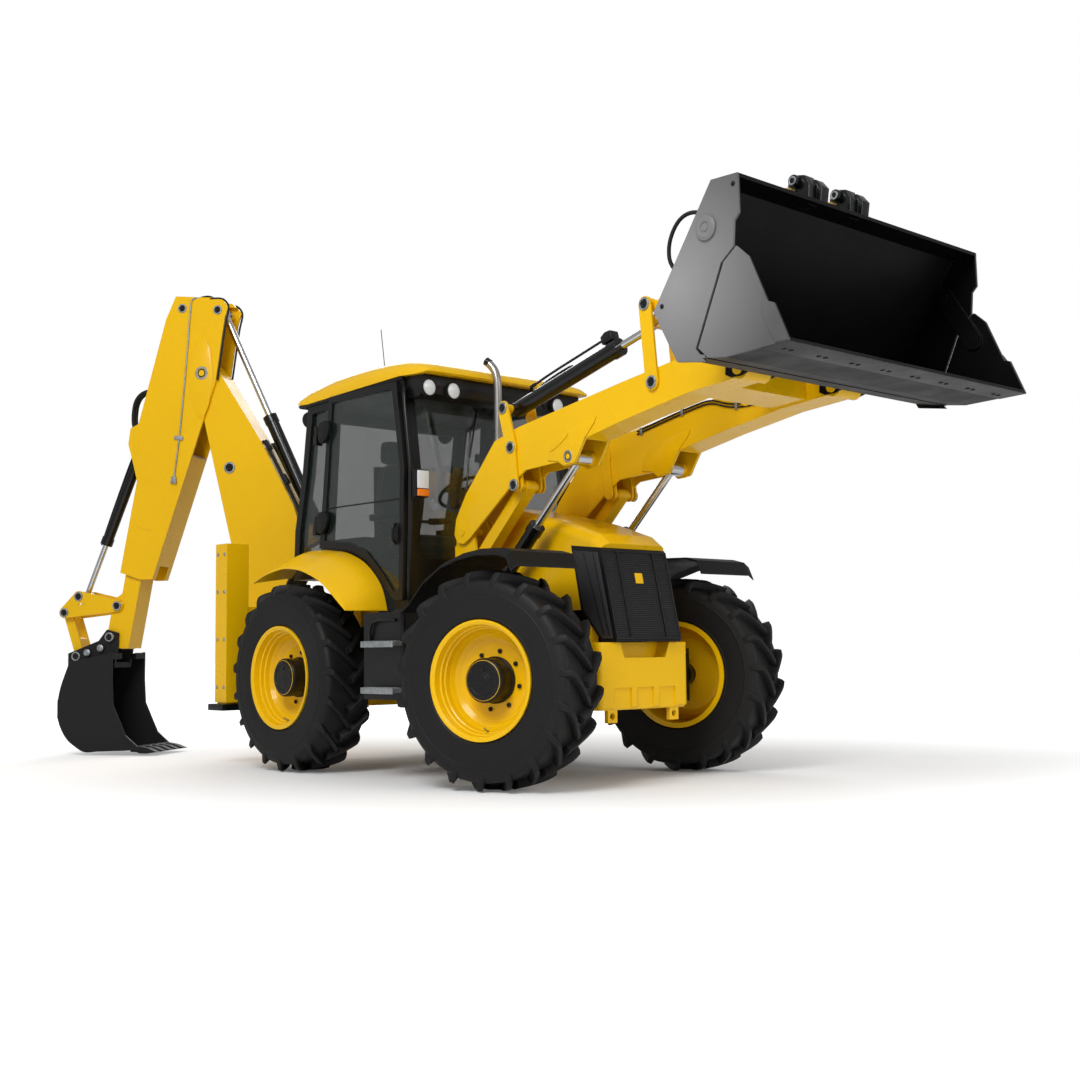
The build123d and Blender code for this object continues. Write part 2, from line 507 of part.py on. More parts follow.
link = strap(LINK_FOOT, CRANK_LOW, 90, ARM_MID - 45, ARM_MID + 45)
link -= boss(LINK_FOOT, PIN_R + FIT, ARM_MID - 50, ARM_MID + 50)
link -= boss(CRANK_LOW, PIN_R + FIT, ARM_MID - 50, ARM_MID + 50)
nodes["levelling_links"] = both(link)

barrel, rod = ram(LIFT_FOOT, LIFT_PIN, ARM_MID, 52, 27, 850, LIFT_EYE_W, 52, 605)
nodes["lift_barrels"] = both(barrel)
nodes["lift_rods"] = both(rod)
barrel, rod = ram(CRANK_TOP, LEVER_ROD, ARM_MID, 55, 27, 1050, CROWD_EYE_W, 44, 340)
nodes["crowd_barrels"] = both(barrel)
nodes["crowd_rods"] = both(rod)

FORK = CROWD_EYE_W / 2 + 5     # half the opening of the tipping link, round the ram's eye
lever = boss(LEVER_PIVOT, PIN_R, *span)
lever += boss(LEVER_TOP, PIN_R, span[0], ARM_MID - FORK + 2) + boss(LEVER_TOP, PIN_R, ARM_MID + FORK - 2, span[1])
lever += boss(LEVER_ROD, 34, span[0], ARM_MID - CROWD_EYE_W / 2 - FIT)
lever += boss(LEVER_ROD, 34, ARM_MID + CROWD_EYE_W / 2 + FIT, span[1])
for y0, y1 in SIDE_Y:
    lever += strap(LEVER_PIVOT, LEVER_TOP, 100, y0, y1)
nodes["tipping_levers"] = both(lever)
# each tipping link is a fork at the lever, so that the ram's eye passes inside it
tip_mid = ((LEVER_TOP[0] + SHOVEL_LINK[0]) / 2, (LEVER_TOP[1] + SHOVEL_LINK[1]) / 2)
tip = strap(tip_mid, SHOVEL_LINK, 72, ARM_MID - FORK - 20, ARM_MID + FORK + 20)
for y0, y1 in ((ARM_MID - FORK - 20, ARM_MID - FORK), (ARM_MID + FORK, ARM_MID + FORK + 20)):
    tip += strap(LEVER_TOP, SHOVEL_LINK, 56, y0, y1) + boss(LEVER_TOP, 44, y0, y1)
tip -= boss(LEVER_TOP, PIN_R + FIT, ARM_MID - 100, ARM_MID + 100)
nodes["tipping_links"] = both(tip)

# ---------------------------------------------------------------- shovel
half_w = SHOVEL_W / 2
BACK_SIDE = [(4510, 3425), (4325, 3430), (3890, 2780), (4060, 2470), (4265, 2440), (4195, 2520), (4383, 2958),
             (4470, 3029), (4480, 3168), (4515, 3205)]
SHEET = [(4510, 3425), (4340, 3420), (3915, 2780), (4075, 2490), (4262, 2460), (4260, 2480), (4085, 2510),
         (3940, 2783), (4350, 3400), (4512, 3403)]
back_sheet = side_plate(SHEET, -half_w, half_w)
sides = side_plate(BACK_SIDE, half_w - SHOVEL_T, half_w)
sides += boss(CLAM_PIVOT, 70, half_w - SHOVEL_T, half_w + 10) + boss(CLAM_PIVOT, PIN_R, half_w - 50, half_w)
ears = None
for y0, y1 in SIDE_Y:
    ear = side_plate([(3890, 2500), (3900, 2640), (3960, 2880), (3880, 3010), (3900, 3060), (3980, 3060),
                      (4130, 3090), (3925, 2778), (4070, 2500), (4000, 2480), (3930, 2480)], y0, y1)
    ears = ear if ears is None else ears + ear
    inner = FORK + 20 + FIT
    ears += boss(SHOVEL_LINK, 40, *sorted((y0 if y0 < ARM_MID else y1,
                                           ARM_MID - inner if y0 < ARM_MID else ARM_MID + inner)))
ears -= boss(SHOVEL_PIVOT, PIN_R + FIT, ARM_IN - 40, ARM_OUT + 40)
nodes["shovel_back"] = back_sheet + sides + mirrored(sides) + ears + mirrored(ears)

CLAM_SIDE = [(4402, 2960), (4492, 3030), (4570, 2960), (4690, 2690), (4730, 2680), (4825, 2465), (4400, 2450), (4280, 2462),
             (4214, 2522)]
clam_sheet = side_plate([(4825, 2465), (4400, 2445), (4272, 2462), (4276, 2484), (4402, 2468), (4818, 2484)],
                        -half_w, half_w)
clam_side = side_plate(CLAM_SIDE, half_w - SHOVEL_T - 5, half_w)
clam_side += strap(CLAM_PIVOT, (4490, 2850), 120, half_w - SHOVEL_T - 25, half_w - SHOVEL_T - 5)
clam_side -= boss(CLAM_PIVOT, PIN_R + FIT, half_w - 60, half_w)
nodes["shovel_clam"] = clam_sheet + clam_side + mirrored(clam_side)

# ---------------------------------------------------------------- backhoe
SLEWED = Pos(KINGPOST_X, 0, 0) * Rot(0, 0, 180 + SLEW_DEG)

carriage = box((-1060, -900.5), (-300, 300), (410, 1280)) - box((-990, -800), (-310, 310), (572, 1118))
LUGS_Z = [(500, 580), (1090, 1170)]
for z0, z1 in LUGS_Z:
    carriage += box((-1360, -1050), (-110, 110), (z0, z1)) + Pos(KINGPOST_X, 0, (z0 + z1) / 2) * Cylinder(110, z1 - z0)
    carriage -= Pos(KINGPOST_X, 0, (z0 + z1) / 2) * Cylinder(50 + FIT, 100)
nodes["carriage"] = carriage

post = Pos(0, 0, 835) * Cylinder(105, 509.4) + Pos(0, 0, 835) * Cylinder(50, 660)
for t in (-1, 1):
    y0, y1 = sorted(((BOOM_HALF + PLATE_GAP) * t, (BOOM_HALF + PLATE_GAP + 30) * t))
    post += side_plate([(0, 600), (190, 600), (480, 500), (580, 520), (580, 600), (460, 900), (380, 960),
                        (300, 960), (0, 1080)], y0, y1)
post += box((0, 130), (-BOOM_HALF - 30, BOOM_HALF + 30), (600, 1080))
post += boss(BOOM_FOOT, PIN_R, -BOOM_HALF - 20, BOOM_HALF + 20) + boss(BOOM_RAM_FOOT, PIN_R, -BOOM_HALF - 20,
                                                                       BOOM_HALF + 20)
nodes["kingpost"] = SLEWED * post

BOOM = [(240, 830), (150, 1300), (70, 1750), (60, 2030), (105, 2170), (422, 2767), (790, 3350), (900, 3480),
        (1020, 3490), (1085, 3400), (959, 2954), (698, 1873), (560, 1300), (460, 830), (400, 750), (300, 750)]
face = make_face(Polyline(*[(x, -BOOM_HALF, z) for x, z in BOOM], close=True))
boom = extrude(face, amount=2 * BOOM_HALF, dir=(0, 1, 0))
boom -= extrude(Pos(0, BOOM_PLATE, 0) * offset(face, amount=-16), amount=2 * (BOOM_HALF - BOOM_PLATE), dir=(0, 1, 0))
slot = BOOM_HALF - BOOM_PLATE
boom -= side_plate([(330, 600), (430, 1500), (560, 2640), (1000, 2640), (800, 1500), (600, 600)], -slot, slot)
boom -= side_plate([(150, 700), (230, 980), (480, 980), (600, 700)], -slot, slot)
boom += pin_bosses(BOOM_RAM_PIN, 50, 0, BOOM_EYE_W, BOOM_HALF)
boom -= boss(BOOM_FOOT, PIN_R + FIT, -200, 200) + boss(DIPPER_PIVOT, PIN_R + FIT, -200, 200)
lug = side_plate([(80, 1780), (-110, 1870), (-165, 1920), (-150, 1985), (-90, 1995), (80, 2040)], 68, 88)
boom += lug + mirrored(lug) + boss(DIPPER_RAM_FOOT, PIN_R, -88, 88)
nodes["boom"] = SLEWED * boom
barrel, rod = ram(BOOM_RAM_FOOT, BOOM_RAM_PIN, 0, 62, 32, 1150, BOOM_EYE_W, 60, 640)
nodes["boom_ram_barrel"] = SLEWED * barrel
nodes["boom_ram_rod"] = SLEWED * rod
barrel, rod = ram(DIPPER_RAM_FOOT, DIPPER_RAM_PIN, 0, 58, 30, 1175, DIPPER_EYE_W, 50, 1125)
nodes["dipper_ram_barrel"] = SLEWED * barrel
nodes["dipper_ram_rod"] = SLEWED * rod

plate_in = BOOM_HALF + PLATE_GAP + 2
DIPPER = [(1235, 4105), (790, 4062), (725, 3980), (760, 3880), (845, 3300), (930, 3050), (1440, 1553), (1555, 1553),
          (1755, 1618), (1600, 2440), (1640, 2600), (1690, 2780), (1670, 2920), (1590, 2960), (1330, 3900)]
dipper = side_plate(DIPPER, -DIPPER_HALF, DIPPER_HALF)
dipper -= side_plate([(1225, 4085), (600, 4000), (600, 3000), (945, 3000), (1465, 1500), (1745, 1500), (1738, 1618),
                      (1583, 2440), (1600, 2700), (1560, 2930), (1310, 3890)], -plate_in, plate_in)
dipper -= box((1400, 1900), (-85, 85), (1500, 2960))
dipper -= box((640, 985), (-DIPPER_EYE_W / 2 - 8, DIPPER_EYE_W / 2 + 8), (3930, 4150))
dipper += pin_bosses(DIPPER_RAM_PIN, 42, 0, DIPPER_EYE_W, DIPPER_HALF)
dipper += boss(DIPPER_PIVOT, PIN_R, -DIPPER_HALF, DIPPER_HALF)
nodes["dipper"] = SLEWED * dipper


def on_dipper(along, across):
    """A point given by its distance down the dipper from the outer end, and across it."""
    ex, ez = DIPPER_DIR
    return (DIPPER_END[0] + along * ex - across * ez, DIPPER_END[1] + along * ez + across * ex)


inner_half = 78.0
stem = [on_dipper(-1340, -inner_half), on_dipper(-1340, inner_half), on_dipper(560, inner_half),
        on_dipper(650, 20), on_dipper(640, -inner_half), on_dipper(560, -inner_half)]
extension = side_plate(stem, -115, 115)
extension -= side_plate([on_dipper(-1500, -62), on_dipper(-1500, 62), on_dipper(450, 62), on_dipper(450, -62)],
                        -100, 100)
for y0, y1 in ((115, plate_in - 0.3), (-plate_in + 0.3, -115)):
    extension += side_plate([on_dipper(-1330, -60), on_dipper(-1330, 60), on_dipper(-1220, 60), on_dipper(-1220, -60)],
                            y0, y1)
nose = side_plate([on_dipper(150, 60), on_dipper(225, 135), on_dipper(330, 150), on_dipper(600, 150),
                   on_dipper(650, 110), on_dipper(655, -20), on_dipper(560, -20), on_dipper(440, 60)], -115, 115)
extension += nose
base_lug = side_plate([(1500, 2700), (1540, 2830), (1560, 2900), (1640, 2900), (1650, 2800), (1600, 2690)], 52, 70)
extension += base_lug + mirrored(base_lug) + boss(BUCKET_RAM_FOOT, PIN_R, -70, 70)
extension += boss(BUCKET_PIVOT, PIN_R, -180, 180) + boss(LEVER_PIN, PIN_R, -150, 150)
nodes["dipper_extension"] = SLEWED * extension
barrel, rod = ram(BUCKET_RAM_FOOT, BUCKET_RAM_PIN, 0, 48, 25, 1029, BUCKET_EYE_W, 46, 560)
nodes["bucket_ram_barrel"] = SLEWED * barrel
nodes["bucket_ram_rod"] = SLEWED * rod

LINK_HALF = 82.0
levers = None
for y0, y1 in ((-140, -120), (120, 140)):
    one = strap(LEVER_PIN, LINK_TOP, 100, y0, y1) + strap(LEVER_PIN, BUCKET_RAM_PIN, 100, y0, y1)
    one += strap(BUCKET_RAM_PIN, LINK_TOP, 100, y0, y1)
    levers = one if levers is None else levers + one
levers -= boss(LEVER_PIN, PIN_R + FIT, -200, 200)
levers += pin_bosses(LINK_TOP, 36, 0, 2 * LINK_HALF, 140) + pin_bosses(BUCKET_RAM_PIN, 40, 0, BUCKET_EYE_W, 140)
nodes["bucket_levers"] = SLEWED * levers
# the link is a fork at the levers, so that the ram's eye passes inside it
link_mid = (LINK_TOP[0] * 0.35 + LINK_LOW[0] * 0.65, LINK_TOP[1] * 0.35 + LINK_LOW[1] * 0.65)
hook = strap(link_mid, LINK_LOW, 80, -LINK_HALF, LINK_HALF)
for t0, t1 in ((-LINK_HALF, -LINK_HALF + 22), (LINK_HALF - 22, LINK_HALF)):
    hook += strap(LINK_TOP, LINK_LOW, 84, t0, t1)
hook -= boss(LINK_LOW, PIN_R + FIT, -LINK_HALF - 5, LINK_HALF + 5)
nodes["bucket_link"] = SLEWED * hook

HITCH = [(1770, 980), (1770, 1080), (1880, 1110), (1960, 1010), (2150, 940), (2260, 900), (2260, 760), (1800, 790)]
hitch = side_plate(HITCH, 125, 150)
hitch -= boss(BUCKET_PIVOT, PIN_R + FIT, 100, 200)
bucket_side = [(1740, 900), (1740, 650), (1729, 444), (1605, 179), (1450, 50), (2002, 30), (2170, 150), (2270, 330),
               (2270, 480), (2200, 700), (2140, 830), (1950, 860)]
shell = side_plate(bucket_side, -BUCKET_HALF, BUCKET_HALF)
room = [(1600, 850), (1600, 400), (1500, 100), (1480, 66), (1990, 50), (2150, 165), (2250, 335), (2250, 475),
        (2180, 695), (2125, 810), (1950, 840)]
shell -= side_plate(room, -BUCKET_HALF + 18, BUCKET_HALF - 18)
shell -= box((1690, 1890), (-124, 124), (836, 930))
bucket = shell + hitch + mirrored(hitch) + box((1800, 2250), (-150, 150), (770, 818)) + boss(LINK_LOW, PIN_R, -150, 150)
for t in (-255, -128, 0, 128, 255):
    bucket += side_plate([(1300, 36), (1470, 72), (1560, 62), (1560, 34), (1470, 30)], t - 30, t + 30)
nodes["backhoe_bucket"] = SLEWED * bucket

# ---------------------------------------------------------------- stabilisers
for name, s in (("right", -1), ("left", 1)):
    g = LEG_WALL + 0.4
    leg = box((HOUSING_X[0] + g, HOUSING_X[1] - g), sorted(((HOUSING_Y[0] + g) * s, (HOUSING_Y[1] - g) * s)),
              (480, HOUSING_TOP - 60))
    leg += box((-1010, -790), sorted(((HOUSING_Y[0] + 20) * s, (HOUSING_Y[1] + 40) * s)), (440, 485))
    nodes[f"stabiliser_{name}"] = leg

# ---------------------------------------------------------------- output
if __name__ == "__main__":
    os.makedirs("parts", exist_ok=True)
    place = Pos(REAR_AXLE_X, CENTRE_Y, 0)
    for name, shape in nodes.items():
        export_step(place * shape, f"parts/{name}.step")
    print(len(nodes), "nodes")
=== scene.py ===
# %% [markdown]
# # A backhoe loader, dressed
# The imported model brings every rigid piece of the machine, already in its place. This script gives those
# pieces their finishes and adds what sheet steel and castings leave out: tyre lugs, hoses, nuts, lamps, the
# seat's cover. First it loads the frame.

# %% Load the frame
import json
from math import atan2, cos, degrees, pi, radians, sin
import bmesh
import bpy
from mathutils import Matrix, Vector

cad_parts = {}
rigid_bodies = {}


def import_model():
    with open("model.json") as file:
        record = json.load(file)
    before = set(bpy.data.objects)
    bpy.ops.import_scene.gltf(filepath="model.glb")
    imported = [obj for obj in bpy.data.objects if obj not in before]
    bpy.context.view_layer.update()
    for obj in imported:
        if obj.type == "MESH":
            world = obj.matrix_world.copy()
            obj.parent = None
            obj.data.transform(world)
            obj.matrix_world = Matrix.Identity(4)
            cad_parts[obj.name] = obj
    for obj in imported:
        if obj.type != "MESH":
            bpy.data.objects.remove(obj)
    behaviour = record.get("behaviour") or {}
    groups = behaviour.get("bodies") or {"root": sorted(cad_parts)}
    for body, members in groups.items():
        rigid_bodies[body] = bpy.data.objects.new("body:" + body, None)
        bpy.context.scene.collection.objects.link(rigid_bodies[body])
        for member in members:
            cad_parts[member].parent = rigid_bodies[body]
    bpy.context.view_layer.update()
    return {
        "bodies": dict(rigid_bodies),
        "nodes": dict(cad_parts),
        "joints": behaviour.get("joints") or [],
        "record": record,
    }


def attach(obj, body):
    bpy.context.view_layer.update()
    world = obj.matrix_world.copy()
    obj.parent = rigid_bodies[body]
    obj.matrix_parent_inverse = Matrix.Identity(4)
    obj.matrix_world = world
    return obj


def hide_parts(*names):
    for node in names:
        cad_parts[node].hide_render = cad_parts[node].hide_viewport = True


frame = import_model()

nodes, bodies = frame["nodes"], frame["bodies"]
joints = {joint["name"]: joint for joint in frame["joints"]}

# %% [markdown]
# ## Where things are
# Positions read most easily from the machine's own middle: X forward from the rear axle,
# Y to the machine's left, Z up from the ground. The rear kingpins give that point. The
# backhoe is turned to one side, so its pieces are placed by their reach from the slew pin,
# their height, and how far they sit to the side of the boom's middle plane.

# %% The machine's axes
rear_right = Vector(joints["steer_rear_right"]["pos_m"])
rear_left = Vector(joints["steer_rear_left"]["pos_m"])
MIDDLE = Vector((rear_right.x, (rear_right.y + rear_left.y) / 2, 0))
WHEEL_R = rear_right.z
SLEW_PIN = Vector(joints["slew"]["pos_m"])
SIDEWAYS = Vector(joints["raise_boom"]["axis"])
REACH = SIDEWAYS.cross(Vector((0, 0, 1)))
if REACH.x > 0:
    REACH.negate()


def at(x, y, z):
    """A point measured in metres from the rear axle's middle, on the ground."""
    return Vector((MIDDLE.x + x, MIDDLE.y + y, z))


print("rear axle at", [round(v, 3) for v in MIDDLE], "slew pin at", [round(v, 3) for v in SLEW_PIN])

# %% [markdown]
# ## The camera
# A long lens stands low in front of the machine's right wheel and looks slightly up, which
# is why the shovel shows its floor and the cab its roof's edge. A tracking constraint could
# aim it at a point, but it wouldn't give the slight roll. So the camera's three axes are
# built from its heading, pitch and roll, and become the columns of its matrix.

# %% Camera
heading, pitch, roll = radians(47.305), radians(4.318), radians(-0.564)
forward = Vector((-sin(heading) * cos(pitch), cos(heading) * cos(pitch), sin(pitch)))
across = Vector((cos(heading), sin(heading), 0))
upward = across.cross(forward)
right = across * cos(roll) + upward * sin(roll)
top = upward * cos(roll) - across * sin(roll)
camera = bpy.data.objects.new("camera", bpy.data.cameras.new("camera"))
bpy.context.scene.collection.objects.link(camera)
camera.matrix_world = Matrix(((right.x, top.x, -forward.x, 0), (right.y, top.y, -forward.y, 0),
    (right.z, top.z, -forward.z, 0), (0, 0, 0, 1)))
camera.matrix_world.translation = at(9.257, -7.037, 0.908)
camera.data.lens = 47.655
camera.data.clip_end = 300
bpy.context.scene.camera = camera
print("camera at", [round(v, 2) for v in camera.matrix_world.translation])

# %% [markdown]
# ## Writing materials as sums
# A material is a graph of nodes, but it reads best as arithmetic. `Wire` wraps one socket
# and overloads the operators, so `tone * 0.9 + dust` adds the Math nodes itself. `Finish`
# owns a material's graph and makes every other kind of node with one method.

# %% A shader language
class Wire:
    """One output socket, which arithmetic extends with Math nodes."""
    def __init__(self, finish, socket):
        self.finish, self.socket = finish, socket

    def _math(self, operation, first, second):
        return self.finish.node("ShaderNodeMath", {"operation": operation}, {0: first, 1: second})

    def __add__(self, other): return self._math("ADD", self, other)
    def __radd__(self, other): return self._math("ADD", other, self)
    def __sub__(self, other): return self._math("SUBTRACT", self, other)
    def __rsub__(self, other): return self._math("SUBTRACT", other, self)
    def __mul__(self, other): return self._math("MULTIPLY", self, other)
    def __rmul__(self, other): return self._math("MULTIPLY", other, self)


class Finish:
    """A material with one Principled shader, drawn from Object coordinates."""
    def __init__(self, name):
        self.material = bpy.data.materials.new(name)
        self.material.use_nodes = True
        self.tree = self.material.node_tree
        self.shader = self.tree.nodes["Principled BSDF"]
        self.place = self.node("ShaderNodeTexCoord", {}, {}, "Object")

    def node(self, kind, settings, sockets, out=0):
        made = self.tree.nodes.new(kind)
        for key, value in settings.items():
            setattr(made, key, value)
        for key, value in sockets.items():
            self.feed(made.inputs[key], value)
        return Wire(self, made.outputs[out])

    def feed(self, socket, value):
        if isinstance(value, Wire):
            self.tree.links.new(value.socket, socket)
        elif isinstance(value, tuple) and len(value) == 3 and len(socket.default_value) == 4:
            socket.default_value = (*value, 1)
        else:
            socket.default_value = value

    def noise(self, scale, detail=3, rough=0.5):
        return self.node("ShaderNodeTexNoise", {}, {"Vector": self.place, "Scale": scale, "Detail": detail,
            "Roughness": rough})

    def mix(self, mask, first, second):
        return self.node("ShaderNodeMix", {"data_type": "RGBA"}, {0: mask, 6: first, 7: second}, 2)

    def between(self, value, low, high, first=0.0, last=1.0):
        """Follows value from low to high with a number from first to last, held at both ends."""
        return self.node("ShaderNodeMapRange", {}, {0: value, 1: low, 2: high, 3: first, 4: last})

    def split(self, vector):
        made = self.node("ShaderNodeSeparateXYZ", {}, {0: vector})
        return [Wire(self, made.socket.node.outputs[i]) for i in range(3)]

    def bump(self, height, distance, strength=1.0, under=None):
        sockets = {"Height": height, "Distance": distance, "Strength": strength}
        if under:
            sockets["Normal"] = under
        return self.node("ShaderNodeBump", {}, sockets)

    def soften(self, radius):
        """Rounds the light on sharp edges, as paint and casting do."""
        return self.node("ShaderNodeBevel", {"samples": 6}, {"Radius": radius})

    def edges(self, radius):
        """1 along edges, 0 on flat faces."""
        flat = self.node("ShaderNodeNewGeometry", {}, {}, "Normal")
        bent = self.node("ShaderNodeBevel", {"samples": 6}, {"Radius": radius})
        dot = self.node("ShaderNodeVectorMath", {"operation": "DOT_PRODUCT"}, {0: flat, 1: bent}, "Value")
        return self.between(dot, 0.99, 0.8)

    def set(self, **sockets):
        for key, value in sockets.items():
            self.feed(self.shader.inputs[key.replace("_", " ")], value)
        return self.material


print("finishes in the file so far:", len(bpy.data.materials))

# %% [markdown]
# ## Colours
# A paint chart gives a colour as a hexadecimal code, but a shader adds and multiplies
# light, so it wants linear values. The curve between the two is short enough to write out,
# and every finish can then name its colour as a chart does.

# %% From a chart to light
def colour(code):
    """A linear colour from the hexadecimal code that a paint chart gives."""
    channels = [int(code[i:i + 2], 16) / 255 for i in (0, 2, 4)]
    return tuple(c / 12.92 if c <= 0.04045 else ((c + 0.055) / 1.055) ** 2.4 for c in channels)


print("machine yellow:", [round(c, 3) for c in colour("F2BE06")])

# %% [markdown]
# ## Paint
# Machine paint is a thick, glossy coat over steel plate. Up close it isn't flat: the spray
# leaves a faint orange peel, whole panels drift a little in tone, and edges carry less
# paint, so they look a touch paler. A wear map painted by hand would fit one shape only.
# The Bevel node finds the edges of any shape, so one recipe does this for yellow, black and
# grey, each with its own gloss.

# %% Paint recipe
def paint(name, base, gloss=0.3, coat=0.5, peel=0.0004, drift=0.05, edge=None, soft=0.004, metal=0.0,
        shine=0.5):
    finish = Finish(name)
    tone = finish.between(finish.noise(0.9, 2), 0.35, 0.65, 1 - drift, 1 + drift)
    fine = finish.noise(38, 4, 0.6)
    body = finish.node("ShaderNodeHueSaturation", {}, {"Color": (*base, 1), "Value": tone + (fine - 0.5)
        * 0.05})
    edge_mask = finish.edges(soft * 1.4) * finish.between(finish.noise(25, 4), 0.35, 0.6)
    skin = finish.mix(edge_mask * 0.55, body, (*(edge or tuple(min(1, c * 1.35 + 0.02) for c in base)), 1))
    rough = finish.between(finish.noise(5, 4, 0.6), 0.3, 0.7, gloss * 0.85, gloss * 1.2)
    relief = finish.bump(finish.noise(160, 2), peel, 0.35, finish.soften(soft))
    return finish.set(Base_Color=skin, Roughness=rough + edge_mask * 0.1, Coat_Weight=coat,
        Coat_Roughness=0.08, Metallic=metal, Specular_IOR_Level=shine, Normal=relief)


YELLOW = paint("yellow paint", colour("F2BE06"), gloss=0.3, coat=0.22, drift=0.03, shine=0.22)
BLACK = paint("black paint", colour("0B0C0D"), gloss=0.38, coat=0.08, shine=0.35)
EDGE = paint("worn edge steel", colour("2A2B2D"), gloss=0.42, coat=0.0, shine=0.35, drift=0.1,
    edge=colour("6A6B6E"), soft=0.005)
RAM = paint("black ram paint", colour("08090A"), gloss=0.22, coat=0.2, shine=0.35)
PLASTIC = paint("moulded black plastic", colour("0D0E0F"), gloss=0.55, coat=0.0, peel=0.0008, shine=0.3)
MESH = paint("woven black screen", colour("2E2F32"), gloss=0.5, coat=0.0, peel=0.0012)
HUB = paint("black hub paint", colour("0B0B0C"), gloss=0.42, coat=0.0, shine=0.35)
CASTING = paint("dark casting", colour("131415"), gloss=0.6, coat=0.0, peel=0.002, shine=0.3)


print("paints:", YELLOW.name, BLACK.name)

# %% [markdown]
# ## The shovel's paint
# The shovel is one dark satin paint, coloured with painted light. Its outer side plates are painted grey, a
# painted sheen, and its hollow is painted nearly black, a painted shade. Two materials on one mesh would need
# its faces sorted. A mask on the distance from the machine's middle finds the outer side plates instead, and
# a second one makes the middle of the right side plate paler still, as a satin coat looks under a broad sky.
# The backhoe's bucket keeps one dark grey.

# %% Shovel paint, with painted sheen and shade
def shovel_finish_with_painted_light():
    """Dark satin paint with painted light: a painted sheen makes the outer side plates grey, palest round the
    right plate's middle, and a painted shade makes the loader shovel's hollow near black.
    """
    finish = Finish("satin shovel paint with painted sheen and shade")
    x, y, z = finish.split(finish.place)
    out = finish.node("ShaderNodeMath", {"operation": "ABSOLUTE"}, {0: y - MIDDLE.y})
    centre = finish.node("ShaderNodeVectorMath", {"operation": "DISTANCE"},
        {0: finish.place, 1: at(4.05, -1.2, 2.9)}, "Value")
    # painted sheen: the outer side plates are painted grey, palest round the middle of the right side plate
    plate = finish.mix(finish.between(centre, 0.0, 0.75), (0.3, 0.3, 0.306, 1), (0.1, 0.1, 0.103, 1))
    loader = finish.between(x, 0.0, 0.1)
    # painted shade: the loader shovel's hollow is painted near black, while the backhoe's bucket keeps one
    # dark grey
    hollow_with_painted_shade = finish.mix(loader, (0.02, 0.02, 0.0215, 1), (0.003, 0.003, 0.0034, 1))
    edge_mask = finish.edges(0.006) * finish.between(finish.noise(25, 4), 0.35, 0.6)
    # the outer side plates of the loader shovel take the painted sheen, and the rest takes the painted shade
    skin = finish.mix(finish.between(out, 1.186, 1.192) * loader, hollow_with_painted_shade, plate)
    skin = finish.mix(edge_mask * 0.35, skin, (0.09, 0.09, 0.094, 1))
    grain = finish.noise(5, 4, 0.6)
    return finish.set(Base_Color=skin, Roughness=finish.between(grain, 0.3, 0.7, 0.34, 0.46),
        Specular_IOR_Level=0.12, Normal=finish.bump(finish.noise(160, 2), 0.0004, 0.3, finish.soften(0.005)))


SHOVEL_PAINT_WITH_PAINTED_LIGHT = shovel_finish_with_painted_light()
print("shovel paint ready:", SHOVEL_PAINT_WITH_PAINTED_LIGHT.name)

# %% [markdown]
# ## Metal, rubber, glass and cloth
# Ram rods are hard chrome, turned, so fine rings run round them. Steps are galvanised, with
# the spangle of zinc crystals. Rubber is matt and slightly dusty. Picture textures could
# show all this, but they stretch on curved pieces, while a pattern in space doesn't. The
# cab's glass is smoked and mirrors the sky. Real refraction would be slow and show the
# cab's back wall, so the panes are only blended.

# %% Other finishes
def chrome():
    finish = Finish("hard chrome")
    grain = finish.noise(300, 2)
    return finish.set(Base_Color=finish.mix(finish.noise(9), colour("C9CBCE"), colour("E4E5E7")),
        Metallic=1.0, Roughness=finish.between(grain, 0.3, 0.7, 0.1, 0.2), Normal=finish.bump(grain, 0.0002,
        0.2))


def galvanised():
    finish = Finish("galvanised steel")
    flakes = finish.node("ShaderNodeTexVoronoi", {}, {"Vector": finish.place, "Scale": 55}, "Color")
    level = finish.node("ShaderNodeRGBToBW", {}, {0: flakes})
    return finish.set(Base_Color=finish.mix(level, colour("8E9396"), colour("B9BDBF")), Metallic=0.85,
        Roughness=finish.between(level, 0, 1, 0.35, 0.6), Normal=finish.bump(level, 0.0004, 0.3,
        finish.soften(0.003)))


def rubber(name="tyre rubber", base="0C0C0D", dusty="171616", radius=0.004):
    finish = Finish(name)
    grime = finish.between(finish.noise(3.5, 5, 0.6), 0.4, 0.75)
    grain = finish.noise(140, 3)
    return finish.set(Base_Color=finish.mix(grime * 0.5, colour(base), colour(dusty)),
        Roughness=finish.between(grain, 0.2, 0.8, 0.48, 0.7), Specular_IOR_Level=0.35,
        Normal=finish.bump(grain, 0.0008, 0.35, finish.soften(radius)))


def glass(name, tint, alpha):
    finish = Finish(name)
    haze = finish.between(finish.noise(2.5, 3), 0.3, 0.7)
    finish.material.surface_render_method = "BLENDED"
    return finish.set(Base_Color=finish.mix(haze, tint, tuple(c * 1.3 for c in tint)), Alpha=alpha,
        Roughness=haze * 0.02 + 0.015, Specular_IOR_Level=0.9, Coat_Weight=1.0, Coat_Roughness=0.02)


def cloth():
    finish = Finish("seat cloth")
    wave = finish.node("ShaderNodeTexWave", {"bands_direction": "Z"}, {"Vector": finish.place, "Scale": 90,
        "Distortion": 0.5})
    weft = finish.node("ShaderNodeTexWave", {"bands_direction": "Y"}, {"Vector": finish.place, "Scale": 90,
        "Distortion": 0.5})
    weave = wave * weft
    return finish.set(Base_Color=finish.mix(weave, colour("232427"), colour("3B3C40")), Roughness=0.9,
        Sheen_Weight=0.3, Normal=finish.bump(weave, 0.001, 0.5))


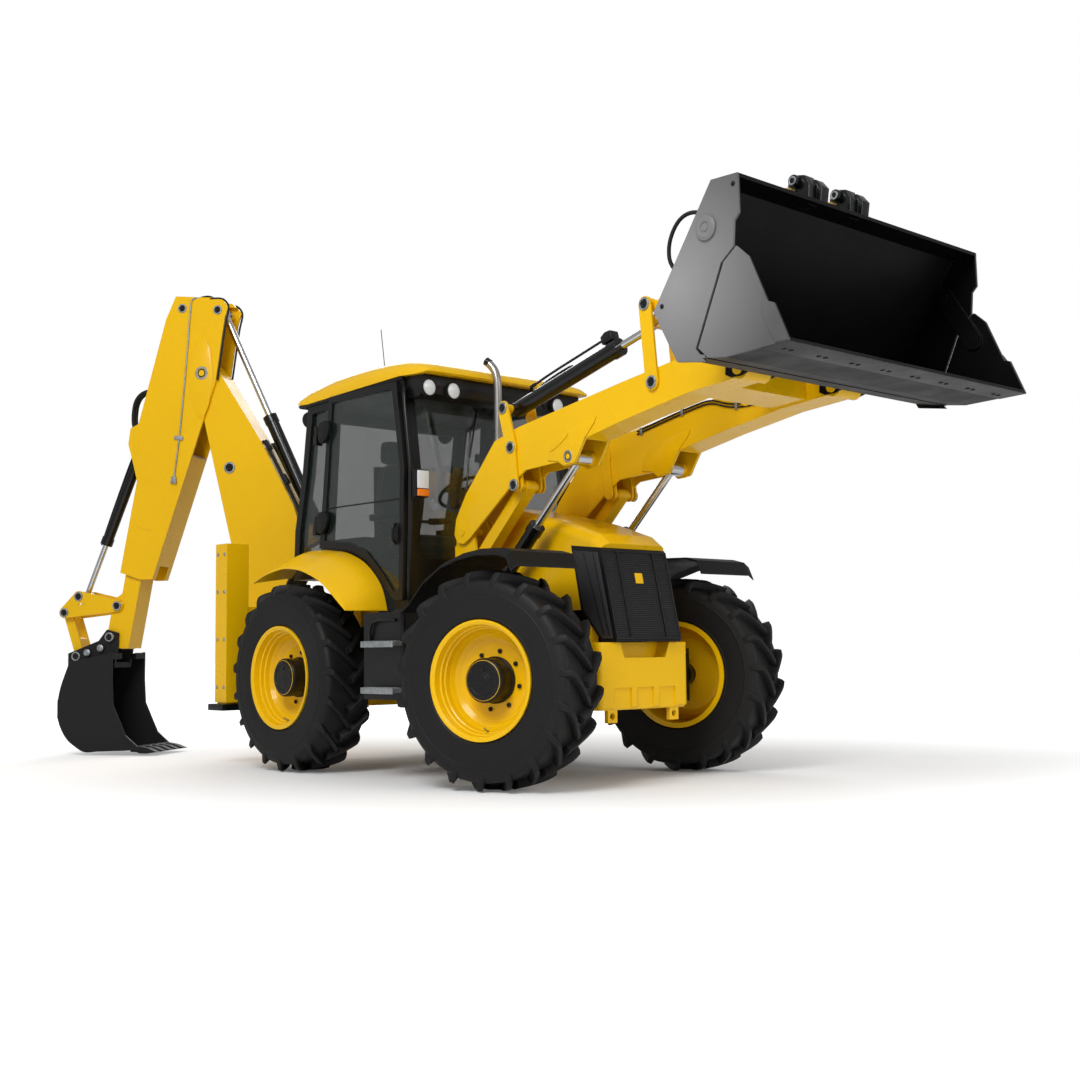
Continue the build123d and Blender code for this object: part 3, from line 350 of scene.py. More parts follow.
def lens(name, tint, glow=0.0):
    finish = Finish(name)
    ribs = finish.node("ShaderNodeTexWave", {"bands_direction": "Y"}, {"Vector": finish.place, "Scale": 60})
    return finish.set(Base_Color=finish.mix(ribs, tint, tuple(min(1, c * 1.25) for c in tint)),
        Roughness=0.08, Coat_Weight=0.8, Normal=finish.bump(ribs, 0.001, 0.5))


CHROME, ZINC, TYRE, CLOTH = chrome(), galvanised(), rubber(), cloth()
STEEL = paint("bright steel", colour("A9A7A2"), gloss=0.28, coat=0.0, drift=0.08, metal=0.9)
BRASS = paint("brass union", colour("B99A55"), gloss=0.3, coat=0.0)
HOSE = rubber("hose rubber", "101113", "1E1F21", 0.001)
GLASS = glass("smoked glass", colour("1F2B26"), 0.42)
LAMP = lens("clear lens", colour("D9DEE0"))
AMBER = lens("amber lens", colour("F07A10"))
print(len(bpy.data.materials), "materials")

# %% [markdown]
# ## Finishes for the imported pieces
# Every imported node already names a material slot in its record. Dressing the nodes by name would need one
# line for each, so a table from slot to finish dresses them all. A second table says which slot goes with
# each finish of the added pieces, and the few that differ say both.

# %% Dress the imported pieces
SLOT_FINISH = {"paint_yellow": YELLOW, "paint_black": BLACK, "cast_dark": CASTING, "plastic_black": PLASTIC,
    "glass": GLASS, "fabric": CLOTH, "chrome": CHROME, "lamp_glass": BLACK, "grille_black": BLACK,
    "ram_black": RAM, "shovel_grey": SHOVEL_PAINT_WITH_PAINTED_LIGHT, "tyre": TYRE}
slot_of = {part["node"]: part["material_slot"] for part in frame["record"]["subparts"]}
for name, node in nodes.items():
    node.data.materials.clear()
    node.data.materials.append(SLOT_FINISH[slot_of[name]])
SLOT = {finish.name: slot for slot, finishes in {"paint_yellow": (YELLOW,), "paint_black": (BLACK, HUB),
    "cast_dark": (CASTING,), "plastic_black": (PLASTIC, HOSE), "ram_black": (RAM,), "shovel_grey": (SHOVEL_PAINT_WITH_PAINTED_LIGHT,
    EDGE), "grille_black": (MESH,), "lamp_glass": (LAMP, AMBER), "chrome": (CHROME, STEEL, BRASS, ZINC),
    "tyre": (TYRE,), "fabric": (CLOTH,)}.items() for finish in finishes}
print("dressed", len(nodes), "nodes")

# %% [markdown]
# ## Ways to make a piece
# Nearly everything on such a machine is cut plate, turned bar, bent pipe or a bolt, and one helper makes each
# of those. Each takes a matrix, so a shape can be drawn in the machine's own axes, along the backhoe, or
# about a wheel, and every finished object still sits at the origin. First come the two frames and the last
# step that all pieces share: smooth shading with sharp creases and a body to ride on.

# %% Frames and finishing
MACHINE = Matrix.Translation(MIDDLE)
ACROSS = Vector((0, 0, 1)).cross(REACH)
HOE = Matrix(((REACH.x, ACROSS.x, 0, SLEW_PIN.x), (REACH.y, ACROSS.y, 0, SLEW_PIN.y), (0, 0, 1, 0),
    (0, 0, 0, 1)))


def named(finish):
    """A finish and its slot's name; a pair already says both."""
    return finish if isinstance(finish, tuple) else (finish, SLOT[finish.name])


def finished(name, mesh, body, finish, replaces=(), crease=32):
    """Links a mesh as a piece that rides on a body."""
    finish, slot = named(finish)
    mesh.materials.clear()
    mesh.materials.append(finish)
    mesh.shade_smooth()
    mesh.set_sharp_from_angle(angle=radians(crease))
    piece = bpy.data.objects.new(name, mesh)
    bpy.context.scene.collection.objects.link(piece)
    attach(piece, body)
    if replaces:
        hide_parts(*replaces)
    return piece


def released(name, shape):
    """A bmesh as a mesh; the bmesh is freed."""
    mesh = bpy.data.meshes.new(name)
    shape.to_mesh(mesh)
    shape.free()
    return mesh


print("the backhoe reaches along", [round(v, 2) for v in REACH])

# %% [markdown]
# ## Meshes from points
# Blender's editing tools work on a bmesh, which has to become a mesh before it is a piece.
# A face that points inwards looks black, so every shape has its faces turned outwards,
# after it is in place.

# %% From points to meshes
def as_mesh(name, shape, frame_at):
    """A bmesh as a mesh in place, its seams closed and its faces pointing outwards."""
    bmesh.ops.remove_doubles(shape, verts=shape.verts, dist=1e-5)
    shape.transform(frame_at)
    bmesh.ops.recalc_face_normals(shape, faces=shape.faces)
    return released(name, shape)


def gathered(name, parts, frame_at):
    """Several closed bmeshes as one mesh in place, each with its faces pointing outwards."""
    shape = bmesh.new()
    for part in parts:
        bmesh.ops.recalc_face_normals(part, faces=part.faces)
        made = released("part", part)
        shape.from_mesh(made)
        bpy.data.meshes.remove(made)
    shape.transform(frame_at)
    return released(name, shape)


def quads(shape, one, two):
    """Closes the band between two loops of vertices."""
    for i in range(len(one)):
        j = (i + 1) % len(one)
        shape.faces.new((one[i], one[j], two[j], two[i]))


def curve(points, steps):
    """Points along a smooth curve through the given ones."""
    ends = [points[0], *points, points[-1]]
    way = []
    for a, b, c, d in zip(ends, ends[1:], ends[2:], ends[3:]):
        for t in [k / steps for k in range(steps)]:
            way.append(tuple(0.5 * (2 * q + (r - p) * t + (2 * p - 5 * q + 4 * r - s) * t * t
                + (3 * q - p - 3 * r + s) * t ** 3) for p, q, r, s in zip(a, b, c, d)))
    return way + [points[-1]]


print("points on a curve:", len(curve([(0, 0), (1, 1), (2, 0)], 4)))

# %% [markdown]
# ## Cut plates
# Plate is cut from an outline and its edges are broken with a grinder. A Bevel modifier
# could do that, but the bevel tool in the script gives the finished mesh at once. Several
# plates can be one piece, as weldments are.

# %% Plates and blocks
def cut(outline, y0, y1, bevel):
    """A plate in the XZ plane, between y0 and y1, its edges broken."""
    shape = bmesh.new()
    near = [shape.verts.new((x, y0, z)) for x, z in outline]
    far = [shape.verts.new((x, y1, z)) for x, z in outline]
    faces = [shape.faces.new(near), shape.faces.new(far[::-1])]
    for i in range(len(near)):
        j = (i + 1) % len(near)
        faces.append(shape.faces.new((near[i], far[i], far[j], near[j])))
    if bevel:
        edges = list({edge for face in faces for edge in face.edges})
        bmesh.ops.bevel(shape, geom=edges, offset=bevel, segments=2, affect="EDGES", profile=0.6)
    return shape


def plates(name, cuts, body, finish, bevel=0.003, frame_at=MACHINE, replaces=()):
    """One piece of several plates, each (outline, y0, y1)."""
    return finished(name, gathered(name, [cut(*one, bevel) for one in cuts], frame_at), body, finish,
        replaces)


def block(x, y, z):
    """A box for plates(), from three (low, high) pairs."""
    return [(x[0], z[0]), (x[1], z[0]), (x[1], z[1]), (x[0], z[1])], y[0], y[1]


print("a block's outline:", block((0, 1), (0, 2), (0, 3))[0])

# %% [markdown]
# ## Turned pieces
# A lathe makes a shape from one profile. The Screw modifier does too, but a ring of points
# for each point of the profile is as short, and closes the poles cleanly.

# %% Turned pieces
def spun(profile, steps, closed=False):
    """(Radius, y) points spun round the Y axis; a radius of 0 closes to a pole."""
    shape = bmesh.new()
    rows = []
    for radius, y in profile:
        if radius < 1e-6:
            rows.append([shape.verts.new((0, y, 0))] * steps)
        else:
            rows.append([shape.verts.new((radius * sin(2 * pi * i / steps), y,
                radius * cos(2 * pi * i / steps))) for i in range(steps)])
    pairs = list(zip(rows, rows[1:])) + ([(rows[-1], rows[0])] if closed else [])
    for one, two in pairs:
        for i in range(steps):
            j = (i + 1) % steps
            corners = []
            for vert in (one[i], one[j], two[j], two[i]):
                if vert not in corners:
                    corners.append(vert)
            if len(corners) > 2:
                shape.faces.new(corners)
    return shape


def turned(name, profiles, body, finish, frame_at, steps=48, replaces=()):
    """One piece of several spun profiles, each (profile, matrix within frame_at)."""
    parts = []
    for profile, place in profiles:
        parts.append(spun(profile, steps))
        parts[-1].transform(place)
    return finished(name, gathered(name, parts, frame_at), body, finish, replaces)


print("plates and turned pieces ready")

# %% [markdown]
# ## Bent pipe
# A pipe or hose has one radius and a path. A curve with a round bevel says just that, and
# is turned into a mesh when it is finished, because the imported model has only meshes.

# %% Pipes
def pipe(name, runs, radius, body, finish, frame_at=MACHINE, replaces=()):
    """One piece of round pipes, each a smooth curve that starts and ends on its points."""
    bent = bpy.data.curves.new(name, "CURVE")
    bent.dimensions, bent.resolution_u = "3D", 6
    bent.bevel_depth, bent.bevel_resolution, bent.use_fill_caps = radius, 3, True
    for points in runs:
        spline = bent.splines.new("NURBS")
        spline.points.add(len(points) - 1)
        for control, point in zip(spline.points, points):
            control.co = (*point, 1)
        spline.order_u = 3
        spline.use_endpoint_u = True
    holder = bpy.data.objects.new("pipe maker", bent)
    bpy.context.scene.collection.objects.link(holder)
    mesh = bpy.data.meshes.new_from_object(holder.evaluated_get(bpy.context.evaluated_depsgraph_get()))
    bpy.data.objects.remove(holder)
    bpy.data.curves.remove(bent)
    mesh.transform(frame_at)
    mesh.name = name
    return finished(name, mesh, body, finish, replaces, crease=50)


print("pipes ready")

# %% [markdown]
# ## Geometry Nodes for what repeats
# Lugs round a tyre, nuts round a hub and bolt heads along an edge are all one shape, many
# times. A Geometry Nodes tree places them, so the count and sizes stay numbers that can be
# changed. `Pattern` writes such a tree with named inputs, runs it on a mesh, and hands back
# a plain mesh. The tree ends by realizing its instances and setting their material.

# %% Patterns
class Pattern:
    """A Geometry Nodes tree whose sizes are named inputs."""
    def __init__(self, name, **sizes):
        self.tree = bpy.data.node_groups.new(name, "GeometryNodeTree")
        face = self.tree.interface
        face.new_socket("Geometry", in_out="INPUT", socket_type="NodeSocketGeometry")
        self.names = {}
        for key, kind in {**sizes, "Finish": "Material"}.items():
            self.names[key] = face.new_socket(key, in_out="INPUT", socket_type=f"NodeSocket{kind}").identifier
        face.new_socket("Geometry", in_out="OUTPUT", socket_type="NodeSocketGeometry")
        self.entry = self.tree.nodes.new("NodeGroupInput")
        self.exit = self.tree.nodes.new("NodeGroupOutput")

    def size(self, name):
        return self.entry.outputs[name]

    def node(self, kind, settings, sockets, out=0):
        made = self.tree.nodes.new(kind)
        for key, value in settings.items():
            setattr(made, key, value)
        for key, value in sockets.items():
            if isinstance(value, bpy.types.NodeSocket):
                self.tree.links.new(value, made.inputs[key])
            else:
                made.inputs[key].default_value = value
        return made.outputs[out]

    def close(self, geometry):
        real = self.node("GeometryNodeRealizeInstances", {}, {"Geometry": geometry})
        dressed = self.node("GeometryNodeSetMaterial", {},
            {"Geometry": real, "Material": self.size("Finish")})
        self.tree.links.new(dressed, self.exit.inputs[0])

    def run(self, mesh, finish, **sizes):
        """The pattern's result on a mesh, as a new plain mesh."""
        holder = bpy.data.objects.new("pattern maker", mesh)
        bpy.context.scene.collection.objects.link(holder)
        modifier = holder.modifiers.new("pattern", "NODES")
        modifier.node_group = self.tree
        for key, value in {**sizes, "Finish": finish}.items():
            modifier[self.names[key]] = value
        made = bpy.data.meshes.new_from_object(holder.evaluated_get(bpy.context.evaluated_depsgraph_get()))
        bpy.data.objects.remove(holder)
        return made


print("pattern trees so far:", len(bpy.data.node_groups))

# %% [markdown]
# ## Copies round an axle
# The lugs repeat round an axle. This tree puts one point for each copy on the axle
# and turns each by its share of the circle. An Array modifier with a turned empty does the
# same, but leaves the empty behind.

# %% The ring pattern
ring = Pattern("copies round an axle", Count="Int")
spots = ring.node("GeometryNodePoints", {}, {"Count": ring.size("Count")})
index = ring.node("GeometryNodeInputIndex", {}, {})
share = ring.node("ShaderNodeMath", {"operation": "DIVIDE"}, {0: index, 1: ring.size("Count")})
angle = ring.node("ShaderNodeMath", {"operation": "MULTIPLY"}, {0: share, 1: 2 * pi})
turn = ring.node("ShaderNodeCombineXYZ", {}, {"Y": angle})
ring.close(ring.node("GeometryNodeInstanceOnPoints", {}, {"Points": spots, "Instance": ring.entry.outputs[0],
    "Rotation": turn}))
print("inputs of the ring:", list(ring.names))

# %% [markdown]
# ## Bolt heads
# A bolt shows a hexagon on a thin washer. The tree builds that pair once and sets it on
# every vertex of a seed mesh, turned to the direction that the vertex carries as an
# attribute.

# %% The bolt pattern
heads = Pattern("hexagon heads", Radius="Float", Height="Float")
hexagon = heads.node("GeometryNodeMeshCylinder", {}, {"Vertices": 6, "Radius": heads.size("Radius"),
    "Depth": heads.size("Height")})
wide = heads.node("ShaderNodeMath", {"operation": "MULTIPLY"}, {0: heads.size("Radius"), 1: 1.3})
thin = heads.node("ShaderNodeMath", {"operation": "MULTIPLY"}, {0: heads.size("Height"), 1: 0.45})
washer = heads.node("GeometryNodeMeshCylinder", {}, {"Vertices": 18, "Radius": wide, "Depth": thin})
whole = heads.node("GeometryNodeJoinGeometry", {}, {})
join = heads.tree.nodes["Join Geometry"]
heads.tree.links.new(hexagon, join.inputs[0])
heads.tree.links.new(washer, join.inputs[0])
aim = heads.node("GeometryNodeInputNamedAttribute", {"data_type": "FLOAT_VECTOR"}, {"Name": "aim"})
tilt = heads.node("FunctionNodeAlignRotationToVector", {"axis": "Z"}, {"Vector": aim})
heads.close(heads.node("GeometryNodeInstanceOnPoints", {}, {"Points": heads.entry.outputs[0],
    "Instance": whole, "Rotation": tilt}))


def bolted(name, spots, radius, height, body, finish, frame_at=MACHINE):
    """Hexagon heads at (place, direction) spots."""
    seeds = bpy.data.meshes.new("seeds")
    seeds.from_pydata([place for place, _ in spots], [], [])
    aims = seeds.attributes.new("aim", "FLOAT_VECTOR", "POINT")
    for item, (_, direction) in zip(aims.data, spots):
        item.vector = direction
    mesh = heads.run(seeds, named(finish)[0], Radius=radius, Height=height)
    mesh.transform(frame_at)
    mesh.name = name
    return finished(name, mesh, body, finish)


print("patterns:", [tree.name for tree in bpy.data.node_groups])

# %% [markdown]
# ## Tyres
# A tractor-type tyre grips soft ground with tall bars, the lugs, that sweep forward from each shoulder and
# meet at the middle. Carving them out of a solid ring would be slow and leave poor faces. So the carcass is a
# closed ring spun from one section, with the thin ribs that the mould leaves on the sidewall, one pair of
# lugs is modelled, and the ring pattern makes nineteen of it.

# %% Tyres
CORNERS = {"front_right": (2.22, -1, 14.8), "front_left": (2.22, 1, 14.8), "rear_right": (0.0, -1, 0.0),
    "rear_left": (0.0, 1, 0.0)}
KINGPIN, WHEEL_OUT = 0.8, 0.18
WHEEL = {corner: Matrix.Translation(at(x, KINGPIN * side, WHEEL_R)) @ Matrix.Rotation(radians(steer), 4, "Z")
    @ Matrix.Translation((0, WHEEL_OUT * side, 0)) for corner, (x, side, steer) in CORNERS.items()}
half = [(0.366, 0.16), (0.371, 0.178), (0.388, 0.186), (0.391, 0.193), (0.4, 0.198), (0.404, 0.202),
    (0.409, 0.202), (0.412, 0.2005), (0.44, 0.2045), (0.48, 0.207), (0.52, 0.2078), (0.548, 0.2075),
    (0.551, 0.2095), (0.557, 0.2095), (0.56, 0.2068), (0.59, 0.2035), (0.612, 0.1985), (0.63, 0.19),
    (0.642, 0.177), (0.648, 0.16), (0.651, 0.1), (0.652, 0.03)]
SECTION = half + [(r, -y) for r, y in reversed(half)]
# one lug from the foot of its shoulder inwards: angle, half-angles, then (y, radius) of top and foot
LUG = [(0.0, 0.036, 0.046, (0.2035, 0.594), (0.196, 0.592)), (0.002, 0.034, 0.048, (0.201, 0.63),
    (0.188, 0.606)), (0.008, 0.03, 0.05, (0.1905, 0.67), (0.175, 0.63)), (0.022, 0.027, 0.05,
    (0.178, 0.6945), (0.16, 0.64)), (0.055, 0.027, 0.047, (0.15, 0.7005), (0.145, 0.645)),
    (0.11, 0.028, 0.045, (0.108, 0.703), (0.106, 0.646)), (0.19, 0.029, 0.043, (0.052, 0.7042),
    (0.052, 0.647)), (0.285, 0.029, 0.04, (-0.016, 0.7045), (-0.016, 0.647))]


def lug_pair():
    """The lug of each side, the far one half a step further round."""
    shape = bmesh.new()
    for side, lead in ((1, 0.0), (-1, pi / 19)):
        rows = []
        for angle, top_a, foot_a, (top_y, top_r), (foot_y, foot_r) in LUG:
            spots = [(foot_r, foot_y, angle - foot_a), (top_r, top_y, angle - top_a),
                (top_r, top_y, angle + top_a), (foot_r, foot_y, angle + foot_a)]
            rows.append([shape.verts.new((r * sin(a + lead), y * side, r * cos(a + lead)))
                for r, y, a in spots])
        for one, two in zip(rows, rows[1:]):
            quads(shape, one, two)
        shape.faces.new(rows[0])
        shape.faces.new(rows[-1])
    bmesh.ops.recalc_face_normals(shape, faces=shape.faces)
    sharp = [edge for edge in shape.edges if edge.calc_face_angle(0) > radians(28)]
    bmesh.ops.bevel(shape, geom=sharp, offset=0.0035, segments=2, affect="EDGES", profile=0.6)
    return released("lugs", shape)


all_lugs = ring.run(lug_pair(), TYRE, Count=19)
for corner, place in WHEEL.items():
    shape = spun(SECTION, 114, closed=True)
    bmesh.ops.recalc_face_normals(shape, faces=shape.faces)
    shape.from_mesh(all_lugs)
    shape.transform(place)
    tyre = finished(f"tread_{corner}", released("tyre", shape), f"wheel_{corner}", TYRE, (f"tyre_{corner}",),
        crease=30)
print("tyre faces:", len(tyre.data.polygons))

# %% [markdown]
# ## Hubs
# Each wheel's reduction gears sit in a black drum that stands out of the yellow disc. It is
# a turned casting, so it is spun here too: cover, flange and cap are one profile. Bolt
# heads could be part of the same mesh, but as a pattern their number and size stay easy to
# change.

# %% Hubs and wheel nuts
HUB_PROFILE = [(0, 0.168), (0.03, 0.168), (0.034, 0.165), (0.036, 0.1655), (0.05, 0.1655), (0.053, 0.162),
    (0.095, 0.161), (0.098, 0.165), (0.118, 0.165), (0.129, 0.16), (0.14, 0.152), (0.1435, 0.146),
    (0.1435, 0.1), (0.1415, 0.097), (0.1415, 0.04), (0.146, 0.036), (0.152, 0.03), (0.152, 0.0155),
    (0, 0.0155)]
for corner, place in WHEEL.items():
    side = CORNERS[corner][1]
    turned(f"hub_cover_{corner}", [([(r, y * side) for r, y in HUB_PROFILE], Matrix())], f"wheel_{corner}",
        HUB, place, 64)
    circle = [2 * pi * i / 8 + 0.2 for i in range(8)]
    bolted(f"wheel_nuts_{corner}", [((0.19 * sin(a), 0.024 * side, 0.19 * cos(a)), (0, side, 0))
        for a in circle], 0.0115, 0.017, f"wheel_{corner}", CASTING, place)
    bolted(f"hub_screws_{corner}", [((0.1075 * sin(a), 0.166 * side, 0.1075 * cos(a)), (0, side, 0))
        for a in [2 * pi * i / 6 for i in range(6)]] + [((0, 0.169 * side, 0.07), (0, side, 0))], 0.0075,
        0.006, f"wheel_{corner}", (RAM, "paint_black"), place)
    pipe(f"valve_{corner}", [[(0, 0.105 * side, -0.322), (0, 0.13 * side, -0.318), (0, 0.15 * side, -0.3)]],
        0.006, f"wheel_{corner}", ZINC, place)
print("hubs dressed:", len(WHEEL))

# %% [markdown]
# ## Pins
# The arms turn on hardened pins. Their ends show as dark discs in a bright washer ring, so
# each joint gets a cap and a ring on both faces of its plates. A short list of joints does
# this better than a hundred placed cylinders, because a cap that is wrong is then wrong
# everywhere and easy to see.

# %% Pins and collars
CAP = [(0, 0.004), (0.018, 0.004), (0.02, 0.0065), (0.026, 0.0065), (0.028, 0.004), (0.028, -0.004),
    (0, -0.004)]
COLLAR = [(0.029, 0.005), (0.03, 0.008), (0.039, 0.008), (0.042, 0.005), (0.042, -0.003), (0.029, -0.003)]


def pins(name, body, spots, frame_at, size=1.0):
    """Caps and rings at (along, height, face), the face's sign saying which way it looks."""
    caps, rings = [], []
    for x, z, face in spots:
        way = 1 if face > 0 else -1
        place = Matrix.Translation((x, face, z))
        caps.append(([(r * size, y * way) for r, y in CAP], place))
        loop = [(r * size, y * way) for r, y in COLLAR]
        rings.append((loop + loop[:1], place))
    turned(f"{name}_pin_caps", caps, body, RAM, frame_at, 32)
    turned(f"{name}_pin_rings", rings, body, ZINC, frame_at, 32)


def faces(points, *levels):
    """Both outer faces of a joint at each point, for pins()."""
    return [(x, z, level * s) for x, z in points for level in levels for s in (-1, 1)]


CRANK_TOP, CRANK_PIVOT, CRANK_LOW = (1.902, 2.562), (1.98, 2.281), (2.01, 2.018)
LEVER_PIVOT, LEVER_TOP, LIFT_PIN = (3.3, 2.543), (3.25, 3.043), (2.53, 2.162)
pins("crank", "cranks", faces([CRANK_TOP, CRANK_PIVOT, CRANK_LOW], 0.591), MACHINE)
pins("lever", "tipping_levers", faces([LEVER_PIVOT, LEVER_TOP], 0.591), MACHINE)
pins("arm", "arms", faces([LIFT_PIN], 0.5705), MACHINE)
pins("boom", "boom", faces([(0.713, 2.532)], 0.1255) + faces([(-0.105, 1.93)], 0.0885), HOE, 1.25)
pins("dipper", "dipper", faces([(0.976, 3.39)], 0.1505), HOE, 1.45)
pins("dipper_top", "dipper", faces([(0.827, 3.956), (1.17, 3.99)], 0.1505), HOE)
pins("extension", "extension", faces([(1.838, 1.043)], 0.1805) + faces([(1.784, 1.322)], 0.1505), HOE)
pins("bucket_lever", "bucket_levers", faces([(2.312, 1.269), (2.171, 1.412)], 0.1405), HOE)
pins("bucket", "backhoe_bucket", faces([(2.183, 0.874)], 0.1505), HOE)
pins("kingpost", "kingpost", faces([(0.35, 0.85), (0.52, 0.56)], 0.1595), HOE, 1.2)
print("pins placed")

# %% [markdown]
# ## Welded doublers and small plates
# Where a pin loads a plate, a second plate is welded over it and ground round its edge. It
# stands a few millimetres proud and catches the light along its outline. A bump map would
# show the line but not that edge, so each is a real plate, cut from its outline.

# %% Doublers
GUSSET = [(2.335, 2.15), (2.36, 2.235), (2.43, 2.3), (2.54, 2.35), (2.67, 2.382), (2.8, 2.398), (2.775, 2.35),
    (2.69, 2.272), (2.598, 2.116), (2.48, 2.104), (2.438, 2.14)]
OVAL = [(2.45 + 0.085 * cos(a) + 0.02 * sin(a), 2.262 + 0.028 * sin(a) + 0.045 * cos(a))
    for a in [2 * pi * i / 20 for i in range(20)]]
plates("arm_gussets", [(GUSSET, 0.57 * s, 0.5755 * s) for s in (-1, 1)] + [(OVAL, 0.5755 * s, 0.58 * s)
    for s in (-1, 1)] + [(GUSSET, 0.3365 * s, 0.342 * s) for s in (-1, 1)], "arms", YELLOW, 0.0035)
LEAF = [(0.865, 3.3), (0.905, 3.1), (0.955, 2.985), (1.01, 2.99), (1.06, 3.09), (1.1, 3.24), (1.105, 3.4),
    (1.075, 3.56), (1.02, 3.7), (0.95, 3.72), (0.9, 3.62), (0.87, 3.47)]
plates("dipper_doublers", [(LEAF, 0.15 * s, 0.1555 * s) for s in (-1, 1)], "dipper", YELLOW, 0.003, HOE)
BAND = [(1.462, 1.985), (1.598, 2.03), (1.593, 2.046), (1.457, 2.001)]
plates("dipper_band", [(BAND, 0.15 * s, 0.1535 * s) for s in (-1, 1)], "dipper", YELLOW, 0.0015, HOE)
WEAR = [(4.64, 2.4528), (4.8245, 2.46175), (4.8245, 2.46595), (4.64, 2.457)]
plates("clam_edge", [(WEAR, -1.2, 1.2)], "clam", EDGE, 0.001)
bolted("clam_edge_bolts", [((4.7, y + d, 2.4535), (0, 0, -1)) for y in [-1.05 + 0.3 * i for i in range(8)]
    for d in (-0.03, 0.03)], 0.011, 0.006, "clam", (BLACK, "shovel_grey"))
CHEEK = [(4.672, 2.735), (4.7, 2.69), (4.728, 2.683), (4.822, 2.47), (4.735, 2.466), (4.69, 2.56),
    (4.655, 2.64)]
plates("clam_cheeks", [(CHEEK, 1.202 * s, 1.2075 * s) for s in (-1, 1)], "clam", SHOVEL_PAINT_WITH_PAINTED_LIGHT, 0.002)
SIDE_BOSS = [(0, 0.012), (0.02, 0.012), (0.022, 0.008), (0.03, 0.008), (0.033, 0.013), (0.052, 0.013),
    (0.06, 0.007), (0.069, 0.004), (0.069, -0.004), (0, -0.004)]
turned("shovel_bosses", [([(r, (1.21 + y) * s) for r, y in SIDE_BOSS], Matrix.Translation((4.29, 0, 3.17)))
    for s in (-1, 1)], "shovel", SHOVEL_PAINT_WITH_PAINTED_LIGHT, MACHINE, 56)
bolted("shovel_screws", [((x, 1.203 * s, z), (0, s, 0)) for s in (-1, 1) for x, z in ((3.955, 2.8),
    (4.48, 3.37))], 0.011, 0.006, "shovel", (RAM, "shovel_grey"))
print("doublers done")

# %% [markdown]
# ## The clam's ram heads
# The front half of the shovel is opened by two rams behind its back. Only their forged
# heads and unions show, above the top edge. A forging has no flat sides, but at this size
# two stacked plates with wide bevels, and a turned eye through them, read the same.

# %% Ram heads
heads_at = (-0.5, -0.1)
plates("clam_ram_heads",
    [cut for y in heads_at for cut in (([(4.34, 3.4), (4.47, 3.4), (4.48, 3.52), (4.45, 3.575), (4.38, 3.59),
    (4.33, 3.55)], y - 0.03, y + 0.06), ([(4.38, 3.425), (4.5, 3.425), (4.512, 3.51), (4.47, 3.56),
    (4.4, 3.56)], y + 0.045, y + 0.12))], "shovel", RAM, 0.006)
turned("clam_ram_eyes", [([(0, -0.062), (0.03, -0.062), (0.036, -0.056), (0.036, 0.056), (0.03, 0.062),
    (0, 0.062)], Matrix.Translation((4.395, y - 0.01, 3.545))) for y in heads_at], "shovel", RAM, MACHINE,
    32)
turned("clam_ram_rings", [([(0.016, -0.0655), (0.026, -0.0655), (0.026, -0.06), (0.016, -0.06),
    (0.016, -0.0655)], Matrix.Translation((4.395, y - 0.01, 3.545))) for y in heads_at], "shovel", ZINC,
    MACHINE, 32)
pipe("clam_unions", [[(4.38, y - 0.02, 3.5), (4.365, y - 0.055, 3.512), (4.35, y - 0.085, 3.5)]
    for y in heads_at], 0.009, "shovel", BRASS)
pipe("shovel_hose", [[(4.235, -1.02, 3.24), (4.15, -1.06, 3.33), (4.015, -1.1, 3.33), (3.93, -1.12, 3.18),
    (3.935, -1.1, 3.02), (4.03, -1.04, 2.96)]], 0.012, "shovel", HOSE)
print("ram heads done")

# %% [markdown]
# ## Steps
# Two open steps of bright pressed steel lead to each door. The dimples that stop a boot
# from sliding are all one stud. Modelling each would be dull work, so Geometry Nodes place
# the stud on a grid whose rows and columns are inputs.

# %% Step treads and the stud grid
grid = Pattern("studs on a grid", Rows="Int", Columns="Int", Long="Float", Wide="Float", Radius="Float",
    Height="Float")
points = grid.node("GeometryNodeMeshGrid", {}, {"Size X": grid.size("Long"), "Size Y": grid.size("Wide"),
    "Vertices X": grid.size("Columns"), "Vertices Y": grid.size("Rows")})
stud = grid.node("GeometryNodeMeshCone", {}, {"Vertices": 6, "Radius Bottom": grid.size("Radius"),
    "Depth": grid.size("Height")})
taper = grid.node("ShaderNodeMath", {"operation": "MULTIPLY"}, {0: grid.size("Radius"), 1: 0.6})
grid.tree.links.new(taper, stud.node.inputs["Radius Top"])
grid.close(grid.node("GeometryNodeInstanceOnPoints", {}, {"Points": points, "Instance": stud}))


def studs(name, place, body, finish, **sizes):
    """Studs on a grid that is centred on a place."""
    mesh = grid.run(bpy.data.meshes.new("empty"), finish, **sizes)
    mesh.transform(place)
    mesh.name = name
    return finished(name, mesh, body, finish)


for side, word in ((-1, "right"), (1, "left")):
    cuts = []
    for z in (0.615, 0.935):
        cuts.append(block((1.034, 1.406), (1.083 * side, 1.1665 * side), (z - 0.003, z + 0.0275)))
        cuts.append(block((1.034, 1.406), (1.1595 * side, 1.1705 * side), (z - 0.012, z + 0.031)))
    plates(f"step_treads_{word}", cuts, "chassis", ZINC, 0.004)
    for number, z in enumerate((0.615, 0.935)):
        studs(f"step_studs_{word}_{number}", MACHINE @ Matrix.Translation((1.22, 1.121 * side, z + 0.028)),
            "chassis", ZINC, Rows=3, Columns=15, Long=0.34, Wide=0.05, Radius=0.007, Height=0.005)
    pipe(f"step_guard_{word}", [[(1.045, 1.085 * side, 0.955), (1.04, 1.1 * side, 1.01),
        (1.06, 1.1 * side, 1.085), (1.12, 1.1 * side, 1.112), (1.25, 1.095 * side, 1.115),
        (1.33, 1.085 * side, 1.11)]], 0.012, "chassis", BLACK)
print("steps done")

